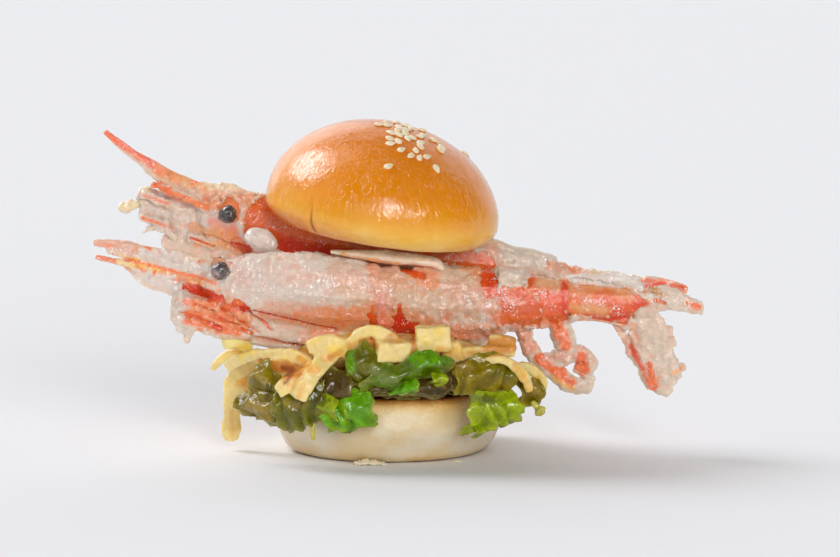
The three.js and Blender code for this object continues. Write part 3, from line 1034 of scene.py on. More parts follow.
def greened(made, colour, edge, wave):
    """Colours a leaf: painted shade in its folds, painted light on its ridges, yellower at its edge."""
    points = points_of(made) / MM
    greens = np.tile(np.array(GREENS[colour]), (len(edge), 1))
    # painted shade and light: darker where the leaf folds in, lighter where it bulges out
    greens[:, :3] *= (1 + 0.45 * np.clip(wave, -1, 1))[:, None]
    greens = tinted(greens, 0.35 * np.clip(edge**10, 0, 1), EDGE_GREEN)
    coloured_in(made, points, greens, leaf_strokes, 0.7 * fuzz(points, 1.8, 8), GREENS)


def thickened(made, thickness):
    """Gives a sheet its thickness, half to each side."""
    finish_with(made, "SOLIDIFY", thickness=thickness * MM, offset=0)
    return made


# %% Grow the leaves in front
RUFFLE, DEEPEST_RUFFLE = 0.1, 1.4  # for the leaf's size, and at most
TOOTH = 0.26
LEAF_GRID = (42, 30)  # squares across and down a leaf

heap_leaves = []
for number, (name, rows) in enumerate(leaf_rows.items()):
    made, shares = sheet(rows, *LEAF_GRID)
    made.name = name
    edge = 1 - 2 * np.minimum(shares, 1 - shares).min(1)
    size = np.ptp(np.array(rows).reshape(-1, 3), axis=0).max()
    wave = ruffled(made, shares, edge, min(DEEPEST_RUFFLE, RUFFLE * size), TOOTH, number)
    greened(made, LEAVES[name][0], edge, wave)
    heap_leaves.append(thickened(made, LEAF_THICKNESS))

# %% [markdown]
# Behind those leaves, three frilled rings go all round the bun, each lower and further in than
# the one before, over a dark core that closes the gaps between them.

# %% Frill a ring
RING_GRID = (300, 14)


def frilled_ring(inner, outer, high, low, lift, colour, seed):
    """A leaf that goes all round: (radius, height) at its inner and outer edge."""
    turns = np.radians(np.linspace(90, 450, 25))
    rows = [
        [(r * math.cos(t), r * math.sin(t), z) for t in turns]
        for r, z in zip(np.linspace(inner, outer, 4), (high, high - 0.5, (high + low) / 2, low))
    ]
    made, shares = sheet(rows, *RING_GRID)
    down = shares[:, 1]
    points, outward = points_of(made) / MM, normals_of(made)
    wave = 0.8 * fuzz(points, 5.5, seed) + 0.6 * fuzz(points, 2.6, seed + 1)
    points += outward * (lift * down**1.5 * wave)[:, None]
    bite = 1 - 0.07 * down**4 * np.clip(1 + 1.5 * fuzz(points, 3.2, seed + 2), 0, 2)
    points[:, :2] *= bite[:, None]
    move_points(made, points * MM)
    greened(made, colour, down, wave)
    return thickened(made, LEAF_THICKNESS)


# %% Lay three rings and their core
RINGS = [  # (inner and outer radius, inner and outer height, frill, colour, noise seed)
    (16, 37.5, 28, 22.5, 2.8, "olive", 40),
    (14, 35.5, 25, 21, 2.0, "moss", 50),
    (12, 33.5, 22, 20, 1.0, "bark", 60),
]
heap_leaves += [frilled_ring(*how) for how in RINGS]
heap_core = ball(HEEL_REACH - 3, (1, 1, 0.16), (0, 0, HEEL_CUT + 2.5))
keep_colours(heap_core, [GREENS["bark"]] * len(heap_core.data.vertices))
heap_leaves.append(heap_core)

# %% [markdown]
# Two pale ends of stalk hang out of the heap, one at each side. A stalk is round, so it is a
# limb where the leaves are sheets.

# %% Let two ends of stalk hang out
STALKS = [  # (flatness, [(direction, reach, lift, thickness), ...])
    (0.7, [(-29.5, 9.5, -3, 0.5), (-30, 10.5, -7, 0.65), (-30, 10, -10.5, 0.6)]),
    (0.6, [(57, 16.5, -1.5, 0.9), (58, 17.5, -3, 1), (58, 18.5, -4, 1.9)]),
]
for flatness, places in STALKS:
    stalk = limb(flatness, [(*round_the_bun(*place), thickness) for *place, thickness in places])
    keep_colours(stalk, [EDGE_GREEN] * len(stalk.data.vertices))
    heap_leaves.append(stalk)
lettuce = joined("lettuce_leaves", heap_leaves)
settle(lettuce)
smooth_shaded(lettuce)

# %% [markdown]
# A wet leaf gleams in small spots, since it puffs up between its veins. Cells give both: their
# borders are the paler veins, and their middles are the puffs. Light also passes through a
# leaf, and it comes out yellower.

# %% Wet the leaves
leaf = new_material("wilted_leaf", roughness=0.38)
mottled = ramp(leaf, cloud(leaf, 2.4 * MM, detail=5, roughness=0.65, warp=0.6), (0.3, 0.72), (0.6, 1.2))
mottled = blend(leaf, 0.85, tone_of(leaf), mottled, "MULTIPLY")
puffs = cells(leaf, 3.2 * MM, feature="DISTANCE_TO_EDGE")
veins = ramp(leaf, puffs, (0.0, 1.5), (0.06, 1.0))
colour_by(leaf, blend(leaf, 0.7, mottled, veins, "MULTIPLY"))
set_sockets(leaf, {
    "Coat Weight": 0.9, "Coat Roughness": 0.1, "Subsurface Weight": 0.1,
    "Subsurface Scale": 0.8 * MM, "Specular IOR Level": 0.0,
})
shader(leaf).inputs["Subsurface Radius"].default_value = (1, 0.9, 0.2)
relief = bump(leaf, cloud(leaf, 2.6 * MM, detail=2, roughness=0.5), 0.28 * MM)
embossed(leaf, bump(leaf, puffs, 0.16 * MM, under=relief))
finish_only(lettuce, leaf)
belongs(lettuce, "leaf", "lettuce")

# %% [markdown]
# ## Omelette strips
#
# A thin omelette was cut into strips: soft pale yellow inside, browned where it met the pan.
# Each strip is a sheet along a curved path, thickened. A few rolled ones are limbs, and a few
# short pieces are cubes. Those in front are laid one by one, and places are given round the
# bun as the leaves' are: direction, how far out, and how far up.

# %% Lay out the strips
STRIPS = {  # strip: (thickness, [(direction, out, up, half width), ...])
    "left_tip": (2.6, [
        (-78, 10.5, 10.5, 1.2), (-80, 14, 10, 1.2), (-82, 17, 7.5, 1.2), (-83, 18.5, 5, 0.9),
    ]),
    "long_arc": (3.4, [
        (-76, 15, 7, 1.5), (-66, 12, 10.5, 1.6), (-55, 10.5, 12.5, 1.3), (-45, 8, 13, 1.4),
        (-38, 6.5, 11.5, 1.7), (-33, 5.5, 9.5, 1.7),
    ]),
    "browned": (2.4, [(-54, 11.5, 8.5, 1.7), (-46, 9, 9, 2.9), (-38, 6.5, 9, 2.3)]),
    "slanting": (3.4, [
        (-23, 2, 16, 2.3), (-26.5, 7, 12.5, 2.6), (-28.5, 11.5, 9, 2.3), (-30.5, 14.5, 5, 2.5),
        (-32, 15.5, 1.5, 2.2),
    ]),
    "slanting_behind": (3.2, [
        (-30.5, 6.5, 10.5, 1.5), (-33, 12.5, 7.5, 1.9), (-36, 16.5, 5.5, 2.3), (-38.5, 18, 3.5, 1.9),
    ]),
    "fat_end": (5.0, [
        (-34, 7, 15.5, 2), (-29, 6.5, 16.2, 2.8), (-24, 5, 15.8, 3.1), (-20, 3, 15, 2.4),
    ]),
    "brown_end": (3.4, [(-21.5, 2.5, 16, 1.7), (-14, 2, 16.5, 2.2), (-7, 1, 15.5, 1.7)]),
    "arch": (3.2, [
        (-18, 1.5, 16.5, 0.9), (-15, 2, 19, 1.3), (-9.5, 2.5, 20.5, 1.5), (-2.5, 2, 20, 1.5),
        (4, 1, 18, 0.9),
    ]),
    "lower_band": (3.0, [(34.5, 4.5, 13.5, 1.6), (41, 9.5, 14, 1.7), (50.5, 14, 13.5, 1.5)]),
    "over_leaf": (3.0, [
        (38, 10, 11, 1.2), (40.5, 14.5, 12.5, 1.3), (44.5, 16, 11.5, 1.3), (49, 17, 8.5, 1.5),
        (51, 18, 5.5, 1.3), (52.5, 18, 3, 0.9),
    ]),
    "ring": (3.0, [
        (57, 11.5, 9, 1.2), (61, 15, 7, 1.6), (63.5, 16.5, 3, 1.6), (62.5, 14.5, -1, 1.5),
        (59.5, 12.5, -1.5, 0.9),
    ]),
}
SOFT_STRIPS = {  # rolled ones, as thick as wide times their flatness
    "hanging": (0.6, [
        (-79, 4.5, 6, 2.9), (-80, 8, 5, 4.6), (-82, 10.5, 1, 4.9), (-84, 12.5, -4.5, 3.3),
        (-85, 13, -9, 2.6), (-86, 13, -13, 3), (-87, 13, -15, 2.8),
    ]),
    "blob": (0.8, [(-76, 16, 13.5, 1.7), (-74, 13.5, 14.5, 3), (-73.5, 9.5, 12.5, 2)]),
}
CUBES = {  # piece: (direction, out and up of its middle, half sizes, degrees of turn)
    "cube_left": ((3, 3, 14.5), (5.9, 3.2, 2.9), (4, 16)),
    "cube_middle": ((21, 2.5, 18), (4.9, 3.6, 3.6), (-3, 8)),
    "cube_small": ((29.5, 3.5, 13.5), (2.9, 2.6, 2.9), (-18, 10)),
    "tile_right": ((49, 10, 15.5), (3.9, 2.0, 2.6), (10, -8)),
    "cube_back": ((-7.5, -1.5, 14), (3.6, 3.0, 2.8), (15, 20)),
}

# %% Mark where they browned, and paint shade into one hole
BROWNED = [  # (piece, (share along, lift), (share along, lift), half width, colour, strength)
    ("blob", (0, 0), (0.5, 0.3), 1.8, "butter", 0.8), ("blob", (0.7, -0.5), (1, 0), 1.3, "yolk", 0.6),
    ("hanging", (0.1, -0.3), (0.25, -0.3), 1.4, "brown", 0.6),
    ("hanging", (0.2, -0.5), (0.35, 0.2), 1.2, "toast", 0.7),
    ("hanging", (0.6, 0), (0.95, 0), 0.8, "toast", 0.4),
    ("browned", (0, 0.3), (0.9, 0.1), 1.8, "brown", 0.85),
    ("browned", (0.5, 0), (0.7, 0), 0.9, "dark", 0.8),
    ("long_arc", (0.75, 0), (1, 0), 1.5, "toast", 0.85),
    # painted shade: a dark spot where a small hole in this strip lies in shade
    ("slanting_behind", (0.6, 0.8), (0.75, 0.6), 0.5, "dark", 0.8),
    ("slanting", (0, -0.6), (0.2, -0.2), 0.9, "brown", 0.7),
    ("slanting", (0.75, 0.6), (1, 0.4), 0.8, "toast", 0.5),
    ("fat_end", (0.6, 0), (1, 0), 1.3, "yolk", 0.3),
    ("fat_end", (0.8, -0.7), (1, -0.7), 1, "toast", 0.6),
    ("brown_end", (0.2, 0), (0.6, 0), 1.2, "toast", 0.7),
    ("brown_end", (0.7, 0.5), (1, 0.5), 1.5, "brown", 0.8),
    ("arch", (0.9, 0), (1, 0), 1.5, "brown", 0.5),
    ("cube_left", (0.95, 0.8), (1, -0.8), 0.9, "brown", 0.8),
    ("cube_middle", (0.3, 1), (0.3, -0.6), 0.35, "yolk", 0.6),
    ("cube_middle", (0.7, 1), (0.7, -0.6), 0.3, "yolk", 0.5),
    ("cube_small", (0, 0.3), (1, -0.3), 1.7, "toast", 0.55),
    ("tile_right", (0, 0), (1, 0), 2.3, "brown", 0.8),
    ("lower_band", (0.2, 0), (0.7, 0), 0.9, "toast", 0.6),
    ("over_leaf", (0.5, 0.5), (0.7, 0.3), 0.9, "brown", 0.4),
    ("over_leaf", (0.7, -0.3), (1, 0), 0.9, "toast", 0.5),
    ("ring", (0.4, 0.8), (0.7, 0), 0.6, "toast", 0.7),
]
OMELETTE = {
    "egg": rgb(244, 218, 146), "butter": rgb(246, 230, 150), "yolk": rgb(250, 212, 60),
    "toast": rgb(238, 172, 62), "brown": rgb(216, 126, 12), "dark": rgb(150, 60, 4),
}

# %% Cut strips and cubes
STRIP_GRID = (25, 4)  # squares along and across a strip


def strip(thickness, path, across=None):
    """A strip through points of (x, y, z, half width), its width upright unless told."""
    along, over = STRIP_GRID
    places = smooth_through(path, along + 1)
    run = np.gradient(places[:, :3], axis=0)
    wide = np.cross(run, (0, 1, 0)) if across is None else np.tile(across, (len(run), 1))
    wide /= np.maximum(np.linalg.norm(wide, axis=1), 1e-6)[:, None]
    half = places[:, 3:] * wide
    middle = places[:, :3]
    made, _ = sheet([middle + half, middle, middle - half], along, over)
    return thickened(made, thickness)


def cube(at, half, turns):
    """A block of omelette with these half sizes, turned about y and then about z."""
    bpy.ops.object.select_all(action="DESELECT")
    bpy.ops.mesh.primitive_cube_add(
        size=2 * MM, location=Vector(at) * MM,
        rotation=(0, math.radians(turns[0]), math.radians(turns[1])), scale=half,
    )
    return bpy.context.object


def laid(path):
    """The strip's path, turned from places round the bun into places in millimetres."""
    return [(*round_the_bun(direction, out, up), half) for direction, out, up, half in path]


def ends_of(at, half, _):
    """A cube's two ends, for marks to lie on."""
    x, y, z = round_the_bun(*at)
    return [(x - half[0], y, z, half[2]), (x + half[0], y, z, half[2])]


# %% [markdown]
# The rest of the heap is strewn at random over two low cores. Some strips lie round its side
# and droop, and others lie across its top and follow its slope.

# %% Tell where a strewn strip lies
HEAP_CORES = [  # (radius, share of it each way, middle)
    (29, (1, 0.95, 0.24), (0, -2, 30)), (24, (1, 0.7, 0.31), (0, 12, 37)),
]
HEAP_FOOT = 24  # height beside the cores

def strewn_strip():
    """A strip at random round the heap, lying on it and drooping over its side."""
    turn, spread = random.uniform(-0.3, math.pi + 0.3), random.uniform(0.5, 1.1)
    near, far = random.uniform(20, 29), random.uniform(29, 35)
    high, low = random.uniform(29, 36), random.uniform(21, 28)
    path = []
    for share in (0, 0.35, 0.7, 1):
        reach = near + (far - near) * share**2
        at = turn + spread * (share - 0.5)
        height = high + (low - high) * share**2
        path.append((reach * math.cos(at), reach * math.sin(at), height, random.uniform(1.7, 2.4)))
    return strip(random.uniform(1.8, 2.8), path)


def heap_height(x, y):
    """How high the heap's cores reach at a place."""
    heights = []
    for radius, (wide, deep, high), (cx, cy, cz) in HEAP_CORES:
        left = 1 - ((x - cx) / (radius * wide)) ** 2 - ((y - cy) / (radius * deep)) ** 2
        heights.append(cz + radius * high * math.sqrt(left) if left > 0 else HEAP_FOOT)
    return max(heights)


def strip_over_heap():
    """A strip that lies across the top of the heap and follows its slope."""
    x, y = random.uniform(-18, 18), random.uniform(0, 26)
    turn, half_run = random.uniform(0, math.pi), random.uniform(6, 9)
    path = []
    for share in (-1, -0.35, 0.35, 1):
        at = (x + share * half_run * math.cos(turn), y + share * half_run * math.sin(turn))
        path.append((*at, heap_height(*at) + 1.1, random.uniform(1.6, 2.3)))
    return strip(random.uniform(1.8, 2.6), path, across=(math.sin(turn), -math.cos(turn), 0))


# %% Lay and strew the strips
ROUND_THE_SIDE, ACROSS_THE_TOP = 26, 24  # numbers of strips

random.seed(23)
strips = [strip(thickness, laid(path)) for thickness, path in STRIPS.values()]
strips += [limb(flat, laid(path)) for flat, path in SOFT_STRIPS.values()]
strips += [cube(round_the_bun(*at), half, turns) for at, half, turns in CUBES.values()]
strips += [strewn_strip() for _ in range(ROUND_THE_SIDE)]
strips += [strip_over_heap() for _ in range(ACROSS_THE_TOP)]
strips += [ball(radius, stretch, at) for radius, stretch, at in HEAP_CORES]
print(len(strips), "pieces in the heap")

# %% [markdown]
# Remeshing melts the heap into one skin and rounds every cut edge, as soft egg is. Noise then
# makes it uneven, and the same noise makes the browning ragged.

# %% Melt the heap together and brown it
EGG_GRAIN = 0.6  # finest detail that stays when the strips melt

egg = joined("omelette_strips", strips)
settle(egg)
flowed(egg, EGG_GRAIN)
points, outward = points_of(egg) / MM, normals_of(egg)
coarse, fine = fuzz(points, 3.5, 1), fuzz(points, 1.4, 2)
points += outward * (0.3 * coarse + 0.16 * fine)[:, None]
move_points(egg, points * MM)
toasted = np.clip(1.3 * fuzz(points, 6, 9) - 0.9, 0, 0.45)
colours = tinted(OMELETTE["egg"], toasted, OMELETTE["toast"])
colours = tinted(colours, np.clip(0.5 * coarse, 0, 0.3), OMELETTE["yolk"])
laid_out = {name: laid(path) for name, (_, path) in {**STRIPS, **SOFT_STRIPS}.items()}
laid_out.update({name: ends_of(*how) for name, how in CUBES.items()})
browned = strokes_on(laid_out, BROWNED)
coloured_in(egg, points, colours, browned, 0.5 * coarse + 0.4 * fine, OMELETTE)
smooth_shaded(egg)

# %% [markdown]
# Omelette is soft, wet and a little translucent, with fine curds in it. A cloud of slightly
# darker curds is laid over the colours, and a finer one gives the relief.

# %% Cook the omelette
omelette = new_material("omelette", roughness=0.42)
curds = ramp(omelette, cloud(omelette, 2 * MM, detail=4, roughness=0.6), (0.3, 0.9), (0.6, 1.03))
colour_by(omelette, blend(omelette, 0.9, tone_of(omelette), curds, "MULTIPLY"))
set_sockets(omelette, {
    "Coat Weight": 0.6, "Coat Roughness": 0.12, "Subsurface Weight": 0.4,
    "Subsurface Scale": 1.8 * MM, "Specular IOR Level": 0.1,
})
shader(omelette).inputs["Subsurface Radius"].default_value = (1, 0.8, 0.3)
grain = cloud(omelette, 1.3 * MM, detail=4, roughness=0.6)
embossed(omelette, bump(omelette, grain, 0.22 * MM))
finish_only(egg, omelette)
belongs(egg, "omelette", "egg_strips")

# %% [markdown]
# ## Shrimps
#
# A fried shrimp is a thin glossy shell under an uneven coat of batter. Every ring, leg, spine
# and lump is a limb. Places on a shrimp are given in millimetres from the middle of its head,
# between its eyes: along to the tail, and up. Colours, bare places and crust are marks on those
# limbs, so they move with them.

# %% Mix the colours of fried shrimp
FRIED = {
    "white": rgb(219, 207, 197), "milk": rgb(222, 201, 180), "cream": rgb(232, 210, 170),
    "stone": rgb(222, 202, 176), "tan": rgb(218, 172, 132), "pink": rgb(226, 172, 146),
    "blush": rgb(230, 142, 108), "rose": rgb(232, 106, 66), "salmon": rgb(240, 144, 86),
    "peach": rgb(240, 170, 110), "apricot": rgb(246, 182, 134), "coral": rgb(240, 92, 40),
    "orange": rgb(238, 108, 30), "red": rgb(228, 58, 10), "deep": rgb(214, 32, 0),
    "ember": rgb(232, 104, 18), "yellow": rgb(246, 196, 104), "butter": rgb(242, 220, 164),
    # the slab's white is brighter than the batter's own colour: painted light under the crown
    "gold": rgb(196, 132, 36), "ash": rgb(214, 206, 190), "snow": rgb(255, 222, 198),
}

# %% [markdown]
# The coat is its own skin, a little larger than the shell, with webs and lumps of batter that
# the shell doesn't have. Where a stroke leaves the shrimp bare, the coat dips under the shell.
# Elsewhere it is smooth or crusty, and small crisp bits stand on the crusty places. Such bits
# could be scattered as separate balls, but melted into the coat they look as if they grew.

# %% Stand crisp bits on the coat
BIT_COUNT = 560


def crisp_bits(coat, crusty):
    """Small balls of batter standing on the crusty places of the coat."""
    points = points_of(coat) / MM
    share = covered(points, crusty, fuzz(points, 3), 1.0)
    ready = np.flatnonzero(share > 0.5)
    bits = []
    for index in random.choices(list(ready), k=BIT_COUNT):
        size = random.uniform(0.3, 0.85)
        bpy.ops.mesh.primitive_ico_sphere_add(
            subdivisions=1, radius=size * MM, location=points[index] * MM
        )
        bits.append(bpy.context.object)
    return bits


# %% Shape the coat
DIP = 1.5  # how far it sinks where the shrimp is bare
BARE_REACH = 12  # how far across a bare place reaches: a slab of batter hangs further out


def shape_coat(coat, bare, crusty):
    """Pushes the coat up and down, and gives the noises that did it, for its colours to use."""
    points, outward = points_of(coat) / MM, normals_of(coat)
    coarse, middling, fine = fuzz(points, 5, 1), fuzz(points, 2.1, 2), fuzz(points, 0.9, 3)
    ragged = 0.4 * coarse + 0.7 * middling + 0.4 * fine
    bareness = covered(points, bare, ragged, 0.5) * (np.abs(points[:, 1]) < BARE_REACH)
    crust_share = covered(points, crusty, coarse, 3)
    rise = 0.2 * coarse + crust_share * (0.35 + 0.42 * middling + 0.1 * fine) + 0.02 * fine
    rise = (1 - bareness) * rise - DIP * bareness
    move_points(coat, (points + outward * rise[:, None]) * MM)
    return coarse, middling, fine, ragged


# %% [markdown]
# Batter is milky where it lies thick, and where it is thin the shell shows through it. The
# search tree finds the shell's nearest point from each point of the coat, which gives the
# batter's depth, and the depth gives its colour. The marks' colours go on top. Alpha isn't
# needed for a solid thing, so it keeps how thickly white glints are painted on a place, as
# painted highlights.

# %% Colour the coat
FULL_DEPTH = 0.85  # millimetres of batter that hide the shell


def depth_over(shell, coat):
    """How many millimetres of batter lie over the shell, at each point of the coat."""
    faces = [face.vertices[:] for face in shell.data.polygons]
    tree = BVHTree.FromPolygons([vertex.co for vertex in shell.data.vertices], faces)
    depth = np.empty(len(coat.data.vertices))
    for index, point in enumerate(points_of(coat)):
        at, facing, _, away = tree.find_nearest(Vector(point))
        depth[index] = math.copysign(away / MM, (Vector(point) - at).dot(facing))
    return depth


def colour_coat(coat, depth, noises, tones, painted_sparkles):
    """Colours the coat by its depth over the shell, and then by its marks."""
    coarse, middling, fine, ragged = noises
    points = points_of(coat) / MM
    thick = np.clip((depth + 0.3 * middling + 0.15 * coarse) / FULL_DEPTH, 0, 1)
    colours = tinted(FRIED["salmon"], thick, FRIED["milk"])
    colours = tinted(colours, np.clip(1.2 - 5 * thick, 0, 0.8), FRIED["orange"])
    colours = tinted(colours, np.clip(0.5 * coarse + 0.1 * fine, 0, 0.5), FRIED["pink"])
    # alpha: where white glints are painted in, as painted highlights
    colours[:, 3] = covered(points, painted_sparkles, ragged, 1)
    coloured_in(coat, points, colours, tones, ragged, FRIED)


# %% Colour the shell
def colour_shell(shell, tones, painted_sparkles):
    """Colours the shell from orange to red with paler clouds, and then by its marks."""
    points = points_of(shell) / MM
    coarse, fine = fuzz(points, 4, 5), fuzz(points, 1.3, 6)
    ragged = 0.6 * coarse + 0.4 * fine
    colours = tinted(FRIED["orange"], np.clip(0.5 + 0.6 * coarse + 0.3 * fine, 0, 1), FRIED["red"])
    colours = tinted(colours, np.clip(0.9 * fuzz(points, 2.6, 7), 0, 0.6), FRIED["salmon"])
    # alpha: where white glints are painted in, as painted highlights
    colours[:, 3] = covered(points, painted_sparkles, ragged, 1)
    coloured_in(shell, points, colours, tones, ragged, FRIED, 1)


# %% [markdown]
# With those steps a shrimp is made in one go: its limbs are melted into a shell, the same
# limbs and more, a little thicker, are melted into a coat, and both get their shape and
# colours while the head is still in the middle. Then they move to their place.


# %% Find a shrimp's places
def set_across(limbs):
    """Gives every point of the limbs its place across the shrimp."""
    return {
        name: (flat, [(x, across, z, thickness) for x, z, thickness in path])
        for name, (flat, across, path) in limbs.items()
    }


def between_eyes(name):
    """The middle of a shrimp's head."""
    ends = [v for eye in ("_eye_near", "_eye_far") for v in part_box(name + eye)]
    return sum(ends, Vector()) / len(ends)


# %% Fry a shrimp
COAT_GROWTH = 0.55  # millimetres of batter on every limb
SHELL_GRAIN, COAT_GRAIN = 0.5, 0.45  # finest details that stay when the limbs melt


def fried(name, flesh, coat_only, bare, crusty, tones, shell_tones, painted_sparkles, streaks=()):
    """Makes a shrimp's shell and its coat and puts them in place."""
    flesh, coat_only = set_across(flesh), set_across(coat_only)
    paths = {limb_name: path for limb_name, (_, path) in {**flesh, **coat_only}.items()}
    crusty, painted_sparkles = strokes_on(paths, crusty), strokes_on(paths, painted_sparkles)
    shell = joined(name + "_shell", [limb(flat, path) for flat, path in flesh.values()])
    flowed(shell, SHELL_GRAIN)
    coated = [limb(flat, path, COAT_GROWTH) for flat, path in flesh.values()]
    coated += [limb(flat, path) for flat, path in coat_only.values()]
    coat = joined(name + "_batter", coated)
    coat = joined(name + "_batter", [coat, *crisp_bits(coat, crusty)])
    flowed(coat, COAT_GRAIN)
    noises = shape_coat(coat, [*strokes_on(paths, bare), *streaks], crusty)
    colour_coat(coat, depth_over(shell, coat), noises, strokes_on(paths, tones), painted_sparkles)
    colour_shell(shell, strokes_on(paths, shell_tones), painted_sparkles)
    for piece in (shell, coat):
        piece.location = between_eyes(name)
        settle(piece)
        smooth_shaded(piece)
    return shell, coat


# %% [markdown]
# ## Finish of the shrimps
#
# Oil makes the bare shell gleam, and its fine pits break the gleam into sparkles. Tiny white
# glints are also painted into the colours of shell and batter, as painted highlights. The batter
# is duller and a little translucent: light sinks in, which the subsurface share stands for.

# %% Paint glints in as highlights
# a near-white painted highlight, laid into the shell's colour
PAINTED_GLINT = rgb(255, 240, 232)


def painted_glints(material, tone, rarity):
    """Where white glints are painted in, as highlights: in clusters, rarer as the number grows, and
    where painted.
    """
    specks = ramp(material, cells(material, 0.8 * MM), (0.16, 1.0), (0.26, 0.0))
    clusters = ramp(material, cloud(material, 3.2 * MM, detail=4), (rarity - 0.12, 0.0), (rarity, 1.0))
    painted = tone.node.outputs["Alpha"]
    dense = ramp(material, cloud(material, 0.55 * MM, detail=2, warp=0.5), (0.52, 0.0), (0.6, 1.0))
    patches = ramp(material, cloud(material, 2.6 * MM, detail=2), (0.4, 0.15), (0.6, 1.0))
    dense = figure(material, "MULTIPLY", figure(material, "MULTIPLY", dense, painted), patches)
    return figure(material, "MAXIMUM", figure(material, "MULTIPLY", specks, clusters), dense)


# %% Oil the shell
shell_finish = new_material("shrimp_shell", roughness=0.35)
tone = tone_of(shell_finish)
marks = cloud(shell_finish, 1.2 * MM, detail=3, roughness=0.6)
marks = ramp(shell_finish, marks, (0.3, 0.88), (0.6, 1.0))
toned = blend(shell_finish, 0.8, tone, marks, "MULTIPLY")
toned = blend(shell_finish, painted_glints(shell_finish, tone, 0.62), toned, PAINTED_GLINT)
colour_by(shell_finish, toned)
set_sockets(shell_finish, {
    "Coat Weight": 1.0, "Coat Roughness": 0.06, "Coat IOR": 1.7, "Specular IOR Level": 0.0,
    "Subsurface Weight": 0.25, "Subsurface Scale": 1.5 * MM,
})
pits = cloud(shell_finish, 1.5 * MM, detail=3, roughness=0.6)
embossed(shell_finish, bump(shell_finish, pits, 0.4 * MM), bump(shell_finish, pits, 0.6 * MM))

# %% Cloud the batter
# a near-white painted highlight, laid into the batter's colour
BATTER_PAINTED_GLINT = rgb(252, 248, 244)

batter = new_material("fried_batter", roughness=0.45)
tone = tone_of(batter)
clouded = ramp(batter, cloud(batter, 1.8 * MM, detail=2, roughness=0.5), (0.3, 0.95), (0.65, 1.07))
specks = ramp(batter, cells(batter, 2.4 * MM), (0.035, rgb(120, 84, 50)), (0.06, (1, 1, 1, 1)))
toned = blend(batter, 1.0, tone, clouded, "MULTIPLY")
toned = blend(batter, 0.6, toned, specks, "MULTIPLY")
toned = blend(batter, painted_glints(batter, tone, 0.6), toned, BATTER_PAINTED_GLINT)
colour_by(batter, toned)
set_sockets(batter, {
    "Coat Weight": 1.0, "Coat Roughness": 0.05, "Coat IOR": 1.8, "Specular IOR Level": 0.0,
    "Subsurface Weight": 0.7, "Subsurface Scale": 2 * MM,
})
shader(batter).inputs["Subsurface Radius"].default_value = (1, 0.66, 0.52)
bubbles = cloud(batter, 1.9 * MM, detail=3, roughness=0.5, warp=0.6)
embossed(batter, bump(batter, bubbles, 0.4 * MM), bump(batter, bubbles, 1.1 * MM))

# %% [markdown]
# ## The two shrimps
#
# The front shrimp is whole: spike, scale, legs, rings, paddles and tail fan. The one behind it
# is mostly hidden by the crown, and its head stands higher. A ring is a short barrel. The
# first one lies under the head, so they are numbered from two. The legs fan out under the
# head, and the bare lines between them are strewn at random.

# %% Repeat rings and legs
LEG_COUNT = 3


def rings(sizes):
    """The tail's rings, each from (start, end, height, thickness in front, thickness behind)."""
    made = {}
    for number, (start, end, height, front, back) in enumerate(sizes, 2):
        middle = ((start + end) / 2, height - 0.3, (front + back) / 2 + 0.4)
        path = [(start, height, front), middle, (end, height, back)]
        made[f"ring_{number}"] = (0.87, 0, path)
    return made


def legs(count):
    """Walking legs folded forward under the head, each lower and further back."""
    made = {}
    for number in range(count):
        root = (4.5 + 1.8 * number, -10 - 4.3 * number, 1.7)
        tip = (-12, -9 - 2.6 * number, 0.9)
        knee = ((root[0] + tip[0]) / 2, (root[1] + tip[1]) / 2 - 0.6, 1.5)
        made[f"leg_{number}"] = (0.8, -4, [root, knee, tip])
    return made


# %% Repeat streaks
def leg_streaks(count):
    """Thin bare lines that fan down and back from the mouth, between the legs."""
    made = []
    for number in range(count):
        share = number / (count - 1)
        x, z = -12 + 20 * share, -9 - 3 * share - 5 * random.random()
        run = random.uniform(4, 7)
        made.append((x, z, x + run, z - (0.25 + 0.5 * share) * run, 0.3))
    return made


def streak_limbs(places):
    """Short raised streaks of shell, thickest in the middle."""
    made = {}
    for number, (x, z) in enumerate(places):
        path = [(x - 3.5, z + 1.2, 0.25), (x, z, 0.5), (x + 3.5, z - 1.2, 0.25)]
        made[f"streak_{number}"] = (0.9, -2.5, path)
    return made


# %% Lay out the front shrimp's limbs
FRONT_FLESH = {  # limb: (flatness, across, [(along, up, thickness), ...])
    "head": (0.9, 0, [
        (-3, -4.5, 5), (3, -5, 8), (14, -5.5, 9.5), (26, -6.5, 10.5), (36, -7.5, 10.5), (43.5, -8, 9.5),
    ]),
    "spike": (0.5, 0, [(1, 0.5, 2.6), (-8, 2, 1.8), (-18, 4, 1.3), (-28, 6.5, 1), (-36.5, 7.5, 0.5)]),
    "scale": (0.3, 0, [(0, -7.5, 2.6), (-8, -5, 2.5), (-17, -2, 2), (-24, 0.5, 1.5), (-28.5, 2, 0.9)]),
    "feeler": (1, -3, [(-25, 1.5, 0.5), (-30, 2.2, 0.3), (-36, 3.7, 0.1)]),
    "jaw": (0.75, 0, [(-2, -10.5, 2.6), (4, -14, 3.8), (12, -17.5, 4), (22, -19.5, 4), (33, -20.5, 3)]),
    "under_tail": (0.6, 0, [(98, -13.5, 1.2), (110, -14.5, 0.9), (121, -16.5, 1.2)]),
    "fan_above": (0.25, 0, [(119, -8.5, 3), (126, -9, 2), (132, -10, 1.2), (138, -11.5, 0.9)]),
    "fan_below": (0.12, 0, [(119.5, -14.5, 2.3), (122, -22.5, 2), (124, -29, 2.3), (125.5, -34.5, 2)]),
    **rings([
        (43.5, 51.5, -9, 9, 9.5), (50.5, 80.5, -10, 10.4, 9.6), (79, 94, -9.2, 8.7, 7),
        (93, 100.5, -9, 6.5, 5.8), (99, 124, -9.6, 5.5, 3.4),
    ]),
    **legs(LEG_COUNT),
}
print(len(FRONT_FLESH), "limbs in the front shrimp")

